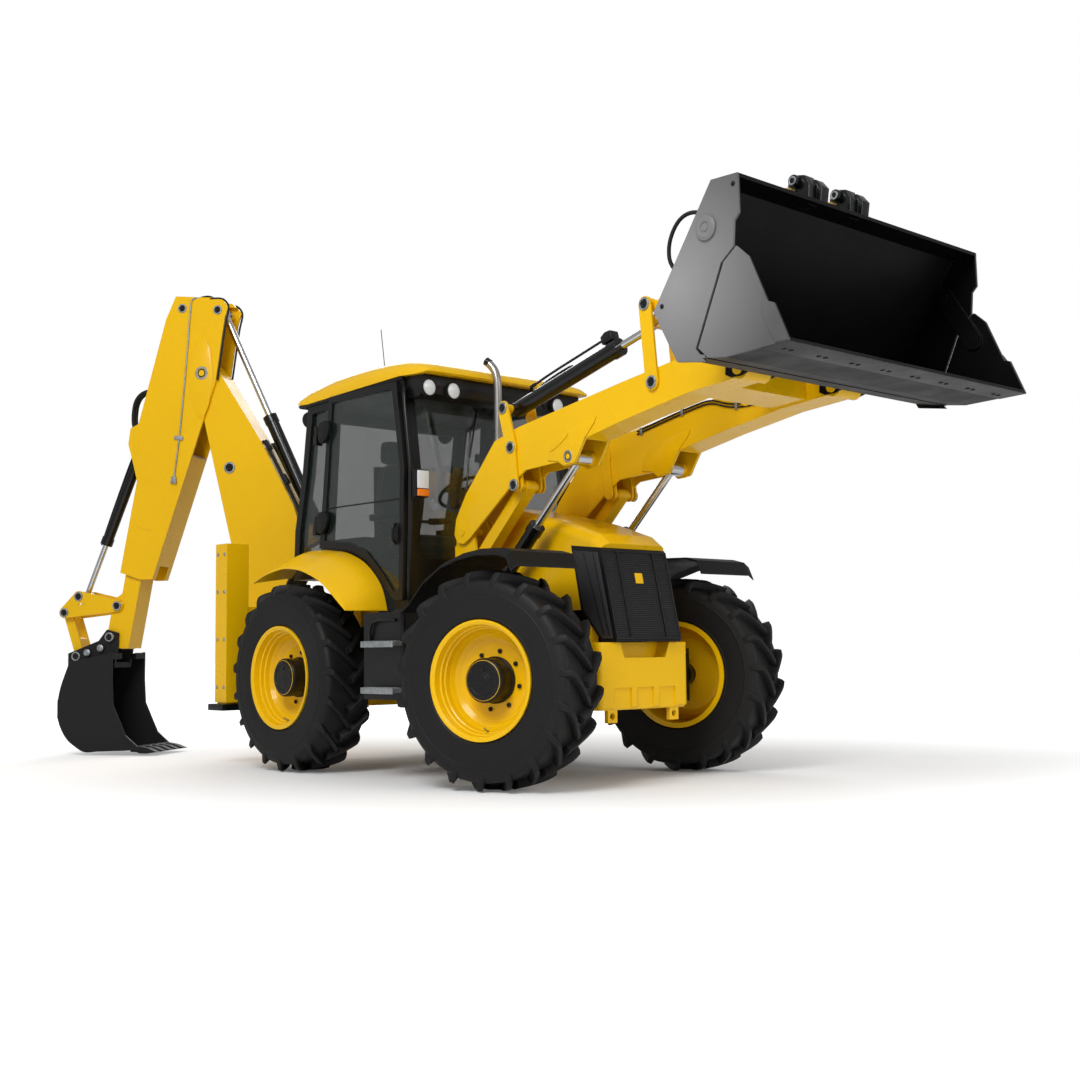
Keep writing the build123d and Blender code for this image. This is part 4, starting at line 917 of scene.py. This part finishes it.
# %% [markdown]
# ## Grille
# The radiator's intake is a black screen of fine mesh in three panels, held by ribs that
# run from the bonnet's lip down to the ballast. A see-through picture of mesh would look
# flat from the side, so the screen is the stud grid again, with small studs set close. It
# leans back, so it is drawn flat and turned into place.

# %% Grille
top_edge, low_edge = Vector((2.5605, 0, 1.5685)), Vector((2.701, 0, 0.947))
down = (low_edge - top_edge).normalized()
outward = Vector((-down.z, 0, down.x))
if outward.x < 0:
    outward.negate()
screen_length = (low_edge - top_edge).length
middle = (top_edge + low_edge) / 2
SCREEN = MACHINE @ Matrix(((down.x, 0, outward.x, middle.x), (0, 1, 0, 0), (down.z, 0, outward.z, middle.z),
    (0, 0, 0, 1)))
studs("grille_mesh", SCREEN, "bonnet", MESH, Rows=44, Columns=46, Long=screen_length - 0.05, Wide=0.6,
    Radius=0.005, Height=0.005)
rib_half = screen_length / 2 - 0.012
cuts = []
for y, wide, tall in ((-0.308, 0.012, 0.01), (-0.172, 0.01, 0.013), (0.172, 0.01, 0.013),
        (0.308, 0.012, 0.01)):
    cuts.append(([(-rib_half, -0.002), (rib_half, -0.002), (rib_half, tall), (-rib_half, tall)], y - wide / 2,
        y + wide / 2))
for x in (-rib_half, rib_half - 0.014):
    cuts.append(([(x, -0.002), (x + 0.014, -0.002), (x + 0.014, 0.01), (x, 0.01)], -0.312, 0.312))
plates("grille_ribs", cuts, "bonnet", (BLACK, "grille_black"), 0.003, SCREEN)
plates("grille_badge", [([(-0.15, 0.004), (-0.078, 0.004), (-0.078, 0.01), (-0.15, 0.01)], -0.036, 0.036)],
    "bonnet", YELLOW, 0.003, SCREEN)
SIDE_PANEL = [(2.3, 1.565), (2.535, 1.54), (2.672, 0.965), (2.575, 0.965), (2.395, 1.16)]
plates("grille_sides", [(SIDE_PANEL, 0.314 * s, 0.3185 * s) for s in (-1, 1)], "bonnet", MESH, 0.002)
plates("grille_side_ribs", [([(x0, 1.56 - 0.02), (x0 + 0.01, 1.56 - 0.02), (x1 + 0.01, 0.985), (x1, 0.985)],
    0.318 * s, 0.3225 * s) for s in (-1, 1) for x0, x1 in ((2.49, 2.632), (2.4, 2.585))], "bonnet",
    (BLACK, "grille_black"), 0.002)
print("grille leans by", round(degrees(atan2(down.x, -down.z)), 1), "degrees")

# %% [markdown]
# ## The cab's roof
# The roof is one moulding, crowned in both directions, with a lip all round that throws
# rain clear of the doors. Subdividing a box gives a crown too, but the lip's line would
# drift. So rows of the side profile are laid from one side to the other, and each row sinks
# towards the lip as it nears the edge.

# %% Roof
TOP = [(-0.33, 2.862), (-0.322, 2.884), (-0.29, 2.915), (-0.18, 2.96), (0.15, 3.016), (0.42, 3.031),
    (0.65, 3.034), (0.86, 3.028), (1.05, 3.011), (1.2, 2.98), (1.29, 2.945), (1.325, 2.912), (1.328, 2.892)]
UNDER = [(1.315, 2.88), (1.24, 2.878), (1.03, 2.8905), (-0.2, 2.8405), (-0.31, 2.848)]


def under_at(x):
    """The underside's height at a place along the roof."""
    rest = sorted(UNDER)
    for (x0, z0), (x1, z1) in zip(rest, rest[1:]):
        if x0 <= x <= x1:
            return z0 + (z1 - z0) * (x - x0) / (x1 - x0)
    return rest[0][1] if x < rest[0][0] else rest[-1][1]


shape = bmesh.new()
rows = []
for y, rise, long in ((-0.812, 0.16, 0.97), (-0.811, 0.34, 0.985), (-0.802, 0.55, 0.993),
        (-0.78, 0.74, 0.998), (-0.74, 0.88, 1.0), (-0.66, 0.965, 1.0), (-0.5, 0.99, 1.0), (-0.2, 1.0, 1.0)):
    row = [(0.5 + (x - 0.5) * long, y, under_at(x) + (z - under_at(x)) * rise) for x, z in TOP]
    rows.append(row + [(0.5 + (x - 0.5) * long, y, z) for x, z in UNDER])
rows += [[(x, -y, z) for x, y, z in row] for row in reversed(rows)]
verts = [[shape.verts.new(point) for point in row] for row in rows]
for one, two in zip(verts, verts[1:]):
    quads(shape, one, two)
shape.faces.new(verts[0])
shape.faces.new(verts[-1])
finished("roof_shell", as_mesh("roof", shape, MACHINE), "chassis", YELLOW, ("cab_roof",), crease=40)
plates("roof_band", [([(1.035, 2.888), (1.262, 2.878), (1.268, 2.8), (1.25, 2.742), (1.13, 2.715),
    (1.045, 2.735)], -0.77, 0.77), ([(-0.325, 2.846), (1.035, 2.888), (1.035, 2.862), (-0.3, 2.818)], -0.806,
    0.806)], "chassis", BLACK, 0.008)
turned("antenna_foot", [([(0, 0.03), (0.01, 0.03), (0.02, 0.01), (0.026, 0), (0, 0)],
    Matrix.Translation((0.558, -0.6, 3.012)) @ Matrix.Rotation(pi / 2, 4, "X"))], "chassis", PLASTIC,
    MACHINE, 24)
pipe("antenna", [[(0.558, -0.6, 3.03), (0.54, -0.6, 3.15), (0.508, -0.6, 3.35)]], 0.0032, "chassis",
    (RAM, "plastic_black"))
print("roof rows:", len(rows))

# %% [markdown]
# ## Rear mudguards
# A pressed steel arch stands over each rear wheel, smooth along and across, with a rounded
# drop at its outer edge. A few rows of points say its shape, and a curve through them in
# both directions makes the sheet, as a panel beater would stretch steel over ribs.

# %% Rear mudguards
ARCH = [(0.8303, [(-0.37, 1.48), (-0.18, 1.61), (0.02, 1.672), (0.23, 1.66), (0.42, 1.628), (0.64, 1.535),
    (0.82, 1.372), (0.895, 1.19)]), (0.965, [(-0.4, 1.462), (-0.19, 1.59), (0.02, 1.65), (0.23, 1.64),
    (0.42, 1.604), (0.64, 1.508), (0.815, 1.352), (0.885, 1.19)]),
    (1.15, [(-0.425, 1.432), (-0.2, 1.51), (0.03, 1.548), (0.2, 1.543), (0.36, 1.512), (0.58, 1.425),
    (0.79, 1.278), (0.872, 1.19)]), (1.185, [(-0.43, 1.405), (-0.2, 1.482), (0.03, 1.52), (0.2, 1.514),
    (0.35, 1.484), (0.57, 1.398), (0.78, 1.252), (0.868, 1.19)])]
shape = bmesh.new()
for side in (-1, 1):
    rows = [curve([(x, y * side, z) for x, z in row], 6) for y, row in ARCH]
    rows = list(zip(*[curve(list(column), 4) for column in zip(*rows)]))
    sheets = [[[shape.verts.new((x, y, z - drop)) for x, y, z in row] for row in rows] for drop in (0.0,
        0.0055)]
    for sheet in sheets:
        for one, two in zip(sheet, sheet[1:]):
            for i in range(len(one) - 1):
                shape.faces.new((one[i], one[i + 1], two[i + 1], two[i]))
    rims = [[*sheet[0], *[row[-1] for row in sheet[1:]], *reversed(sheet[-1][:-1]),
        *[row[0] for row in reversed(sheet[1:-1])]] for sheet in sheets]
    quads(shape, *rims)
finished("mudguard_arches", as_mesh("arches", shape, MACHINE), "chassis", YELLOW, ("rear_fenders",),
    crease=40)
print("arch rows:", len(rows))

# %% [markdown]
# ## Work lamps and road lamps
# Each work lamp is a black cup with a bright reflector behind a ribbed lens. Cup and lens
# are both turned shapes, so they are spun. On the door pillar a clear side lamp stands over
# an amber indicator: moulded boxes, for which a block with broad bevels is enough.

# %% Lamps
LOOK = Matrix.Rotation(-pi / 2, 4, "Z")
CUP = [(0, -0.045), (0.05, -0.045), (0.064, -0.02), (0.068, 0.01), (0.066, 0.018), (0.058, 0.018),
    (0.056, 0.008), (0, 0.008)]
GLASS_DISC = [(0, 0.02), (0.03, 0.0185), (0.056, 0.012), (0.056, 0.006), (0, 0.006)]
spots = [(1.272, y, 2.778) for y in (-0.745, -0.52, 0.52, 0.745)]
turned("lamp_cups", [(CUP, Matrix.Translation(spot) @ LOOK) for spot in spots], "chassis",
    (PLASTIC, "lamp_glass"), MACHINE, 40, ("lamps",))
turned("lamp_lenses", [(GLASS_DISC, Matrix.Translation(spot) @ LOOK) for spot in spots], "chassis", LAMP,
    MACHINE, 40)
for side, word in ((-1, "right"), (1, "left")):
    plates(f"side_lamp_box_{word}", [block((1.215, 1.262), (0.735 * side, 0.85 * side), (1.985, 2.185))],
        "chassis", PLASTIC, 0.01)
    plates(f"side_lamp_clear_{word}", [block((1.26, 1.276), (0.744 * side, 0.841 * side), (2.048, 2.176))],
        "chassis", LAMP, 0.006)
    plates(f"side_lamp_amber_{word}", [block((1.26, 1.28), (0.744 * side, 0.841 * side), (1.992, 2.042))],
        "chassis", AMBER, 0.006)
    pipe(f"side_lamp_arm_{word}", [[(1.12, 0.76 * side, 2.09), (1.18, 0.775 * side, 2.095),
        (1.222, 0.79 * side, 2.09)]], 0.012, "chassis", BLACK)
    pipe(f"grab_rail_{word}", [[(1.05, 0.79 * side, 2.8), (1.085, 0.822 * side, 2.74), (1.15, 0.826 * side,
        2.33), (1.172, 0.826 * side, 2.18), (1.158, 0.826 * side, 1.7), (1.14, 0.824 * side, 1.33),
        (1.105, 0.785 * side, 1.24)]], 0.016, "chassis", BLACK)
turned("rear_lamp_cups", [(CUP, Matrix.Translation((-0.318, y, 2.745)) @ LOOK.inverted()) for y in (-0.69,
    0.69)], "chassis", PLASTIC, MACHINE, 32)
turned("rear_lamp_lenses", [(GLASS_DISC, Matrix.Translation((-0.318, y, 2.745)) @ LOOK.inverted())
    for y in (-0.69, 0.69)], "chassis", LAMP, MACHINE, 32)
print("lamps:", len(spots))

# %% [markdown]
# ## Doors and windscreen
# Rubber edges the panes, a seam divides the door's glass, and big moulded covers hide the
# hinges. The handle is a pull in an oval cup. A wiper hangs from the windscreen's top rail.
# Flat pieces are cut as plates and thin ones are bent as pipe, because that is how they are
# made on the machine too.

# %% Doors, wiper and exhaust
blob = [(0.018, -0.05), (0.04, -0.085), (0.085, -0.09), (0.135, -0.05), (0.165, 0.01), (0.16, 0.06),
    (0.11, 0.085), (0.05, 0.08), (0.018, 0.05)]
for side, word in ((-1, "right"), (1, "left")):
    body = f"door_{word}"
    plates(f"hinge_covers_{word}", [([(x + lean, z + middle) for x, z in blob], 0.8305 * side, 0.862 * side)
        for middle, lean in ((2.585, 0.02), (1.885, 0.0))], body, PLASTIC, 0.01)
    plates(f"door_seam_{word}", [block((0.1, 1.06), (0.8185 * side, 0.8225 * side), (1.986, 1.997))], body,
        HOSE, 0.001)
    oval = [(1.005 + 0.032 * cos(a), 1.74 + 0.085 * sin(a)) for a in [2 * pi * i / 20 for i in range(20)]]
    plates(f"door_handle_cup_{word}", [(oval, 0.8305 * side, 0.84 * side)], body, PLASTIC, 0.004)
    pipe(f"door_handle_{word}", [[(1.005, 0.838 * side, 1.81), (1.005, 0.866 * side, 1.795),
        (1.005, 0.87 * side, 1.74), (1.005, 0.866 * side, 1.685), (1.005, 0.838 * side, 1.67)]], 0.009, body,
        BLACK)
pipe("wiper_arm", [[(1.05, -0.1, 2.74), (1.08, -0.14, 2.64), (1.125, -0.24, 2.33)], [(1.092, -0.205, 2.56),
    (1.118, -0.235, 2.4), (1.143, -0.285, 2.08)]], 0.007, "chassis", (RAM, "plastic_black"))
turned("wiper_motor", [([(0, 0.028), (0.028, 0.028), (0.034, 0.02), (0.034, -0.02), (0, -0.02)],
    Matrix.Translation((1.055, -0.1, 2.735)) @ LOOK)], "chassis", PLASTIC, MACHINE, 28)
pipe("exhaust_stack", [[(1.45, -0.24, 1.915), (1.45, -0.24, 2.3), (1.45, -0.24, 2.7), (1.45, -0.24, 2.86),
    (1.425, -0.252, 2.96), (1.37, -0.275, 3.01)]], 0.03, "chassis", STEEL, replaces=("exhaust",))
pipe("exhaust_mouth", [[(1.392, -0.266, 2.994), (1.366, -0.277, 3.014)]], 0.0325, "chassis", RAM)
turned("exhaust_clamp", [([(0.03, -0.012), (0.0345, -0.012), (0.0345, 0.012), (0.03, 0.012), (0.03, -0.012)],
    Matrix.Translation((1.45, -0.24, z)) @ Matrix.Rotation(pi / 2, 4, "X")) for z in (1.95, 2.25)],
    "chassis", ZINC, MACHINE, 36)
print("doors and exhaust done")

# %% [markdown]
# ## The seat
# A sprung seat with a fabric cover: cushion, backrest and headrest are three pads, each a
# crowned form that swells between its seams and pulls in along its sides. A cloth
# simulation could puff them up, but its result changes with every setting. So they start as
# a finely divided block whose points are pushed onto a rounded shape, with grooves where
# the seams are sewn.

# %% Seat pads
def pad(name, centre, size, lean, swell, channels):
    """A crowned pad with sewn channels, tilted by lean about Y."""
    shape = bmesh.new()
    bmesh.ops.create_cube(shape, size=2.0)
    bmesh.ops.subdivide_edges(shape, edges=shape.edges[:], cuts=17, use_grid_fill=True)
    for vert in shape.verts:
        x, y, z = vert.co
        length = (abs(x) ** 5 + abs(y) ** 5 + abs(z) ** 5) ** 0.2
        x, y, z = x / length, y / length, z / length
        crown = swell * (1 - x * x) * (1 - y * y)
        groove = sum(max(0.0, 1 - abs(y - line) / 0.07) for line in channels) * 0.14 * (1 if z > 0.3 else 0)
        pull = 1 - 0.05 * (1 - z * z)
        vert.co = (x * pull * size[0], y * pull * size[1], z * size[2] * (1 + crown - groove))
    shape.transform(Matrix.Rotation(lean, 4, "Y"))
    shape.transform(Matrix.Translation(centre))
    made = finished(name, as_mesh(name, shape, MACHINE), "seat", CLOTH, crease=60)
    return made


seat_pads = [pad("seat_cushion", (0.205, 0, 1.75), (0.25, 0.245, 0.058), 0.0, 0.1, (-0.5, 0.5)),
    pad("seat_back", (-0.045, 0, 2.11), (0.305, 0.228, 0.055), radians(-80.5), 0.1, (-0.5, 0.5)),
    pad("seat_headrest", (-0.122, 0, 2.512), (0.098, 0.128, 0.042), radians(-86), 0.12, ())]
plates("seat_pan", [([(-0.06, 1.64), (0.44, 1.64), (0.455, 1.7), (-0.08, 1.7)], -0.235, 0.235),
    ([(-0.15, 1.7), (-0.085, 1.69), (-0.115, 2.39), (-0.16, 2.39)], -0.19, 0.19)], "seat", PLASTIC, 0.012,
    replaces=("seat",))
pipe("seat_posts", [[(-0.128, y, 2.37), (-0.124, y, 2.43), (-0.12, y, 2.48)] for y in (-0.06, 0.06)], 0.007,
    "seat", CHROME)
plates("armrests", [([(-0.02, 1.93), (0.3, 1.93), (0.32, 1.965), (-0.02, 1.985)], y0, y1)
    for y0, y1 in ((-0.335, -0.265), (0.265, 0.335))], "seat", PLASTIC, 0.012)
pipe("armrest_arms", [[(-0.06, 0.215 * s, 1.96), (-0.055, 0.26 * s, 1.958), (-0.015, 0.3 * s, 1.956)]
    for s in (-1, 1)], 0.014, "seat", BLACK)
print("seat pads:", [piece.name for piece in seat_pads])

# %% [markdown]
# ## Hydraulic lines on the loader
# Steel pipe carries oil along an arm, and a hose bridges each joint. They are clamped at
# both ends, so they count as fixed pieces, not as loose cords. Each is a smooth curve
# through a few points, which is quicker to read and to mend than a swept mesh.

# %% Loader lines
for side in (-1, 1):
    word = "right" if side < 0 else "left"
    lines = [[(2.3, 0.335 * side, 2.418 + d), (2.38, 0.335 * side, 2.44 + d), (2.86, 0.335 * side, 2.54 + d),
        (3.0, 0.335 * side, 2.555 + d), (3.13, 0.335 * side, 2.505 + d), (3.3, 0.335 * side, 2.488 + d),
        (3.42, 0.335 * side, 2.5 + d)] for d in (0.0, 0.022)]
    pipe(f"arm_pipes_{word}", lines, 0.006, "arms", RAM)
    plates(f"arm_pipe_clips_{word}", [block((x, x + 0.022), (0.3275 * side, 0.343 * side),
        (z - 0.014, z + 0.04)) for x, z in ((2.33, 2.424), (2.72, 2.512), (3.2, 2.492))], "arms", ZINC,
        0.003)
    hoses = [[(3.41, 0.335 * side, 2.5 + d), (3.48, 0.335 * side, 2.52 + d), (3.56, 0.334 * side, 2.565 + d),
        (3.62, 0.334 * side, 2.61)] for d in (0.0, 0.022)]
    pipe(f"shovel_feed_{word}", hoses, 0.008, "arms", HOSE)
    loops = [[(2.47 + d, (0.43 + d) * side, 2.52), (2.48 + d, (0.43 + d) * side, 2.42),
        (2.56, (0.43 + d) * side, 2.335 - d / 2), (2.68, (0.43 + d) * side, 2.33 - d / 2),
        (2.77 - d, (0.43 + d) * side, 2.41), (2.78 - d, (0.43 + d) * side, 2.54)] for d in (0.0, 0.05)]
    pipe(f"arm_hose_loops_{word}", loops, 0.012, "arms", HOSE)
    y = 0.456 * side
    pipe(f"crowd_pipe_{word}", [[(2.12, y - 0.03, 2.705), (2.2, y - 0.03, 2.738), (2.7, y - 0.03, 2.88),
        (2.82, y - 0.03, 2.915), (2.86, y - 0.01, 2.905)], [(2.12, y + 0.03, 2.705), (2.2, y + 0.03, 2.738),
        (2.42, y + 0.03, 2.802), (2.45, y + 0.01, 2.79)]], 0.009, "crowd_barrels", RAM)
    plates(f"crowd_valve_{word}", [([(2.78, 2.872), (2.87, 2.898), (2.852, 2.962), (2.802, 2.955),
        (2.762, 2.925)], y - 0.04, y + 0.04)], "crowd_barrels", RAM, 0.008)
    pipe(f"crowd_hose_{word}", [[(2.13, y - 0.03, 2.708), (2.06, y - 0.04, 2.7), (2.02, y - 0.1 * side, 2.64),
        (2.05, 0.345 * side - 0.02 * side, 2.56)]], 0.012, "crowd_barrels", HOSE)
print("loader lines done")

# %% [markdown]
# ## Hydraulic lines on the backhoe
# Three thick hoses arch over the dipper's end, two pairs run down the boom, and five loop
# from the frame to the slewing post. Real hoses sway as the arms move. Here each one rides
# on one arm, so it is drawn only as far as that arm reaches, and it never crosses a joint.

# %% Backhoe lines
pipe("dipper_arch", [[(1.47, t, 3.28), (1.58, t, 3.29), (1.69, t, 3.21), (1.715, t, 3.05), (1.7, t, 2.93),
    (1.672, t, 2.86)] for t in (-0.035, 0.0, 0.035)], 0.013, "dipper", HOSE, HOE)
pipe("dipper_grease_pipe", [[(0.99, 0.14, 4.078), (1.06, 0.158, 4.08), (1.085, 0.16, 4.04),
    (1.116, 0.16, 3.55), (1.175, 0.16, 2.9), (1.2, 0.16, 2.7), (1.232, 0.16, 2.45)]], 0.0065, "dipper", ZINC,
    HOE)
plates("dipper_grease_block", [([(1.205, 2.4), (1.262, 2.408), (1.252, 2.47), (1.212, 2.464)], 0.15, 0.176),
    ([(1.15, 2.79), (1.235, 2.802), (1.23, 2.835), (1.146, 2.824)], 0.15, 0.166)], "dipper", ZINC, 0.004,
    HOE)
pipe("dipper_hoses", [[(0.9, t, 4.06), (0.8, t, 4.07), (0.735, t, 4.02), (0.716, t, 3.96), (0.752, t, 3.84),
    (0.79, t, 3.56), (0.826, t, 3.32)] for t in (-0.1455, 0.1455)], 0.009, "dipper", HOSE, HOE)
pipe("dipper_top_hoses", [[(0.86, t, 4.055), (0.9, t, 4.088), (0.98, t, 4.092), (1.05, t, 4.072)]
    for t in (-0.118, 0.118)], 0.011, "dipper", HOSE, HOE)
pipe("boom_hoses", [[(0.405, t, 2.76), (0.372, t, 2.735), (0.24, t, 2.47), (0.08, t, 2.17), (0.03, t, 2.03),
    (0.045, t, 1.76), (0.09, t, 1.48), (0.118, t, 1.34)] for t in (-0.105, -0.083, 0.083, 0.105)], 0.012,
    "boom", HOSE, HOE)
plates("boom_hose_clamps", [([(x, z), (x + 0.045, z + 0.08), (x + 0.022, z + 0.093), (x - 0.024, z + 0.013)],
    t0, t1) for x, z in ((0.345, 2.68), (0.18, 2.37)) for t0, t1 in ((-0.124, -0.064), (0.064, 0.124))],
    "boom", BLACK, 0.004, HOE)
pipe("dipper_ram_pipe", [[(-0.11, t, 2.04), (-0.07, t, 2.09), (0.2, t, 2.66), (0.33, t, 2.96), (0.35, t, 3.0)]
    for t in (-0.045, 0.045)], 0.008, "dipper_ram_barrel", RAM, HOE)
pipe("bucket_ram_pipe", [[(1.69, t, 2.72), (1.722, t, 2.66), (1.905, t, 2.18), (2.0, t, 1.92),
    (2.01, t, 1.88)] for t in (-0.03, 0.03)], 0.007, "bucket_ram_barrel", RAM, HOE)
pipe("slew_hoses", [[(-0.395, y, 1.56), (-0.52, y - 0.02, 1.64), (-0.7, y - 0.05, 1.65),
    (-0.9, y - 0.08, 1.58), (-1.04, y - 0.09, 1.45), (-1.1, y - 0.08, 1.32)] for y in (-0.36, -0.32, -0.28,
    -0.24, -0.2)], 0.017, "chassis", HOSE)
print("backhoe lines done")

# %% [markdown]
# ## Backhoe ends
# The bucket digs with five forged teeth and hangs in a hitch whose hook bars are bare
# metal. Its back is rolled plate, so the smooth curve gives its line. The legs end in black
# feet. All are cut plates, because their outlines say more than any sculpted detail would
# at this distance.

# %% Teeth, hitch and feet
def tooth(t):
    return [([(1.3, 0.0345), (1.395, 0.068), (1.5, 0.086), (1.59, 0.08), (1.59, 0.066), (1.47, 0.02),
        (1.4, 0.02)], t - 0.036, t + 0.036)]


plates("bucket_teeth", [cut for t in (-0.255, -0.128, 0.0, 0.128, 0.255) for cut in tooth(t)],
    "backhoe_bucket", SHOVEL_PAINT_WITH_PAINTED_LIGHT, 0.006, HOE)
LIP = [(1.742, 0.905), (1.742, 0.65), (1.731, 0.444), (1.607, 0.179), (1.5, 0.09), (1.522, 0.075),
    (1.632, 0.168), (1.757, 0.44), (1.768, 0.65), (1.768, 0.905)]
plates("bucket_lips", [(LIP, 0.294 * s, 0.304 * s) for s in (-1, 1)], "backhoe_bucket", SHOVEL_PAINT_WITH_PAINTED_LIGHT, 0.002, HOE)
BACK = curve([(1.88, 0.0345), (2.0, 0.029), (2.1, 0.082), (2.175, 0.142), (2.235, 0.235), (2.2665, 0.33),
    (2.267, 0.405), (2.2665, 0.48), (2.245, 0.59), (2.205, 0.705), (2.155, 0.828)], 4)
BACK += [(2.135, 0.815), (2.195, 0.69), (2.262, 0.48), (2.262, 0.332), (2.165, 0.158), (1.998, 0.036),
    (1.88, 0.0385)]
plates("bucket_round", [(BACK, -0.2995, 0.2995)], "backhoe_bucket", SHOVEL_PAINT_WITH_PAINTED_LIGHT, 0.001, HOE)
turned("hitch_ends", [([(0, 0.0), (0.026, 0.0), (0.032, 0.006), (0.032, 0.02), (0.022, 0.026), (0, 0.026)],
    Matrix.Translation((x, 0.158, z))) for x, z in ((1.93, 0.945), (2.06, 0.905))], "backhoe_bucket", ZINC,
    HOE, 28)
for side, word in ((-1, "right"), (1, "left")):
    plates(f"leg_foot_{word}", [block((-1.0125, -0.7875), (0.9725 * side, 1.1975 * side), (0.437, 0.4885))],
        f"stabiliser_{word}", BLACK, 0.006)
    plates(f"leg_wear_strips_{word}", [block((-0.978, -0.975), (0.975 * side, 1.0 * side), (0.52, 1.74)),
        block((-0.978, -0.975), (1.11 * side, 1.135 * side), (0.52, 1.74))], "chassis", YELLOW, 0.001)
    bolted(f"housing_screws_{word}", [((-0.89 + d, 1.1558 * side, z), (0, side, 0)) for z in (0.62, 1.0, 1.38,
        1.68) for d in (-0.05, 0.05)], 0.012, 0.008, "chassis", ZINC)
print("ends done")

# %% [markdown]
# ## The stage
# A pale floor and plain studio light. One white world would do for both the light and the
# background, but then the paint looks washed out. So the world is white for the camera and
# for what is seen through glass, and a milder grey for what it lights, and three broad
# lamps give the shapes their modelling.

# %% Floor, world and lamps
def stage_floor():
    mesh = bpy.data.meshes.new("floor")
    mesh.from_pydata([(-80, -80, 0), (80, -80, 0), (80, 80, 0), (-80, 80, 0)], [], [(0, 1, 2, 3)])
    floor = bpy.data.objects.new("floor", mesh)
    bpy.context.scene.collection.objects.link(floor)
    finish = Finish("pale floor")
    seen = finish.node("ShaderNodeLightPath", {}, {}, "Is Camera Ray")
    far = finish.node("ShaderNodeVectorMath", {"operation": "DISTANCE"},
        {0: finish.place, 1: at(1.0, 0.3, 0)}, "Value")
    level = finish.mix(seen * finish.between(far, 1.0, 8.0), (0.0, 0.0, 0.0, 1), (0.85, 0.85, 0.85, 1))
    glow = finish.node("ShaderNodeEmission", {}, {"Color": level, "Strength": 1.0})
    matt = finish.node("ShaderNodeBsdfDiffuse", {}, {"Color": (0.9, 0.9, 0.9, 1)})
    both = finish.node("ShaderNodeAddShader", {}, {0: matt, 1: glow})
    output = finish.tree.nodes["Material Output"]
    finish.tree.links.new(both.socket, output.inputs["Surface"])
    mesh.materials.append(finish.material)
    return floor


def lamp(name, place, aim, size, power):
    light = bpy.data.objects.new(name, bpy.data.lights.new(name, "AREA"))
    light.data.size, light.data.energy = size, power
    bpy.context.scene.collection.objects.link(light)
    light.location = place
    light.rotation_euler = (Vector(aim) - Vector(place)).to_track_quat("-Z", "Y").to_euler()


stage_floor()
world = bpy.data.worlds.new("studio")
bpy.context.scene.world = world
world.use_nodes = True
graph = world.node_tree
shade = graph.nodes["Background"]
path = graph.nodes.new("ShaderNodeLightPath")
add = graph.nodes.new("ShaderNodeMath")
add.operation = "MAXIMUM"
graph.links.new(path.outputs["Is Camera Ray"], add.inputs[0])
graph.links.new(path.outputs["Is Transmission Ray"], add.inputs[1])
strength = graph.nodes.new("ShaderNodeMapRange")
strength.inputs["To Min"].default_value = 0.4
strength.inputs["To Max"].default_value = 1.0
graph.links.new(add.outputs[0], strength.inputs["Value"])
graph.links.new(strength.outputs[0], shade.inputs["Strength"])
shade.inputs["Color"].default_value = (1, 1, 1, 1)
centre = at(1.0, 0, 1.5)
lamp("key", at(6.0, -9.0, 9.0), centre, 5.0, 900)
lamp("front", at(12.0, 2.0, 4.0), centre, 5.0, 230)
lamp("rear", at(-8.0, 6.0, 7.0), centre, 6.0, 350)
bpy.context.scene.view_settings.view_transform = "Standard"
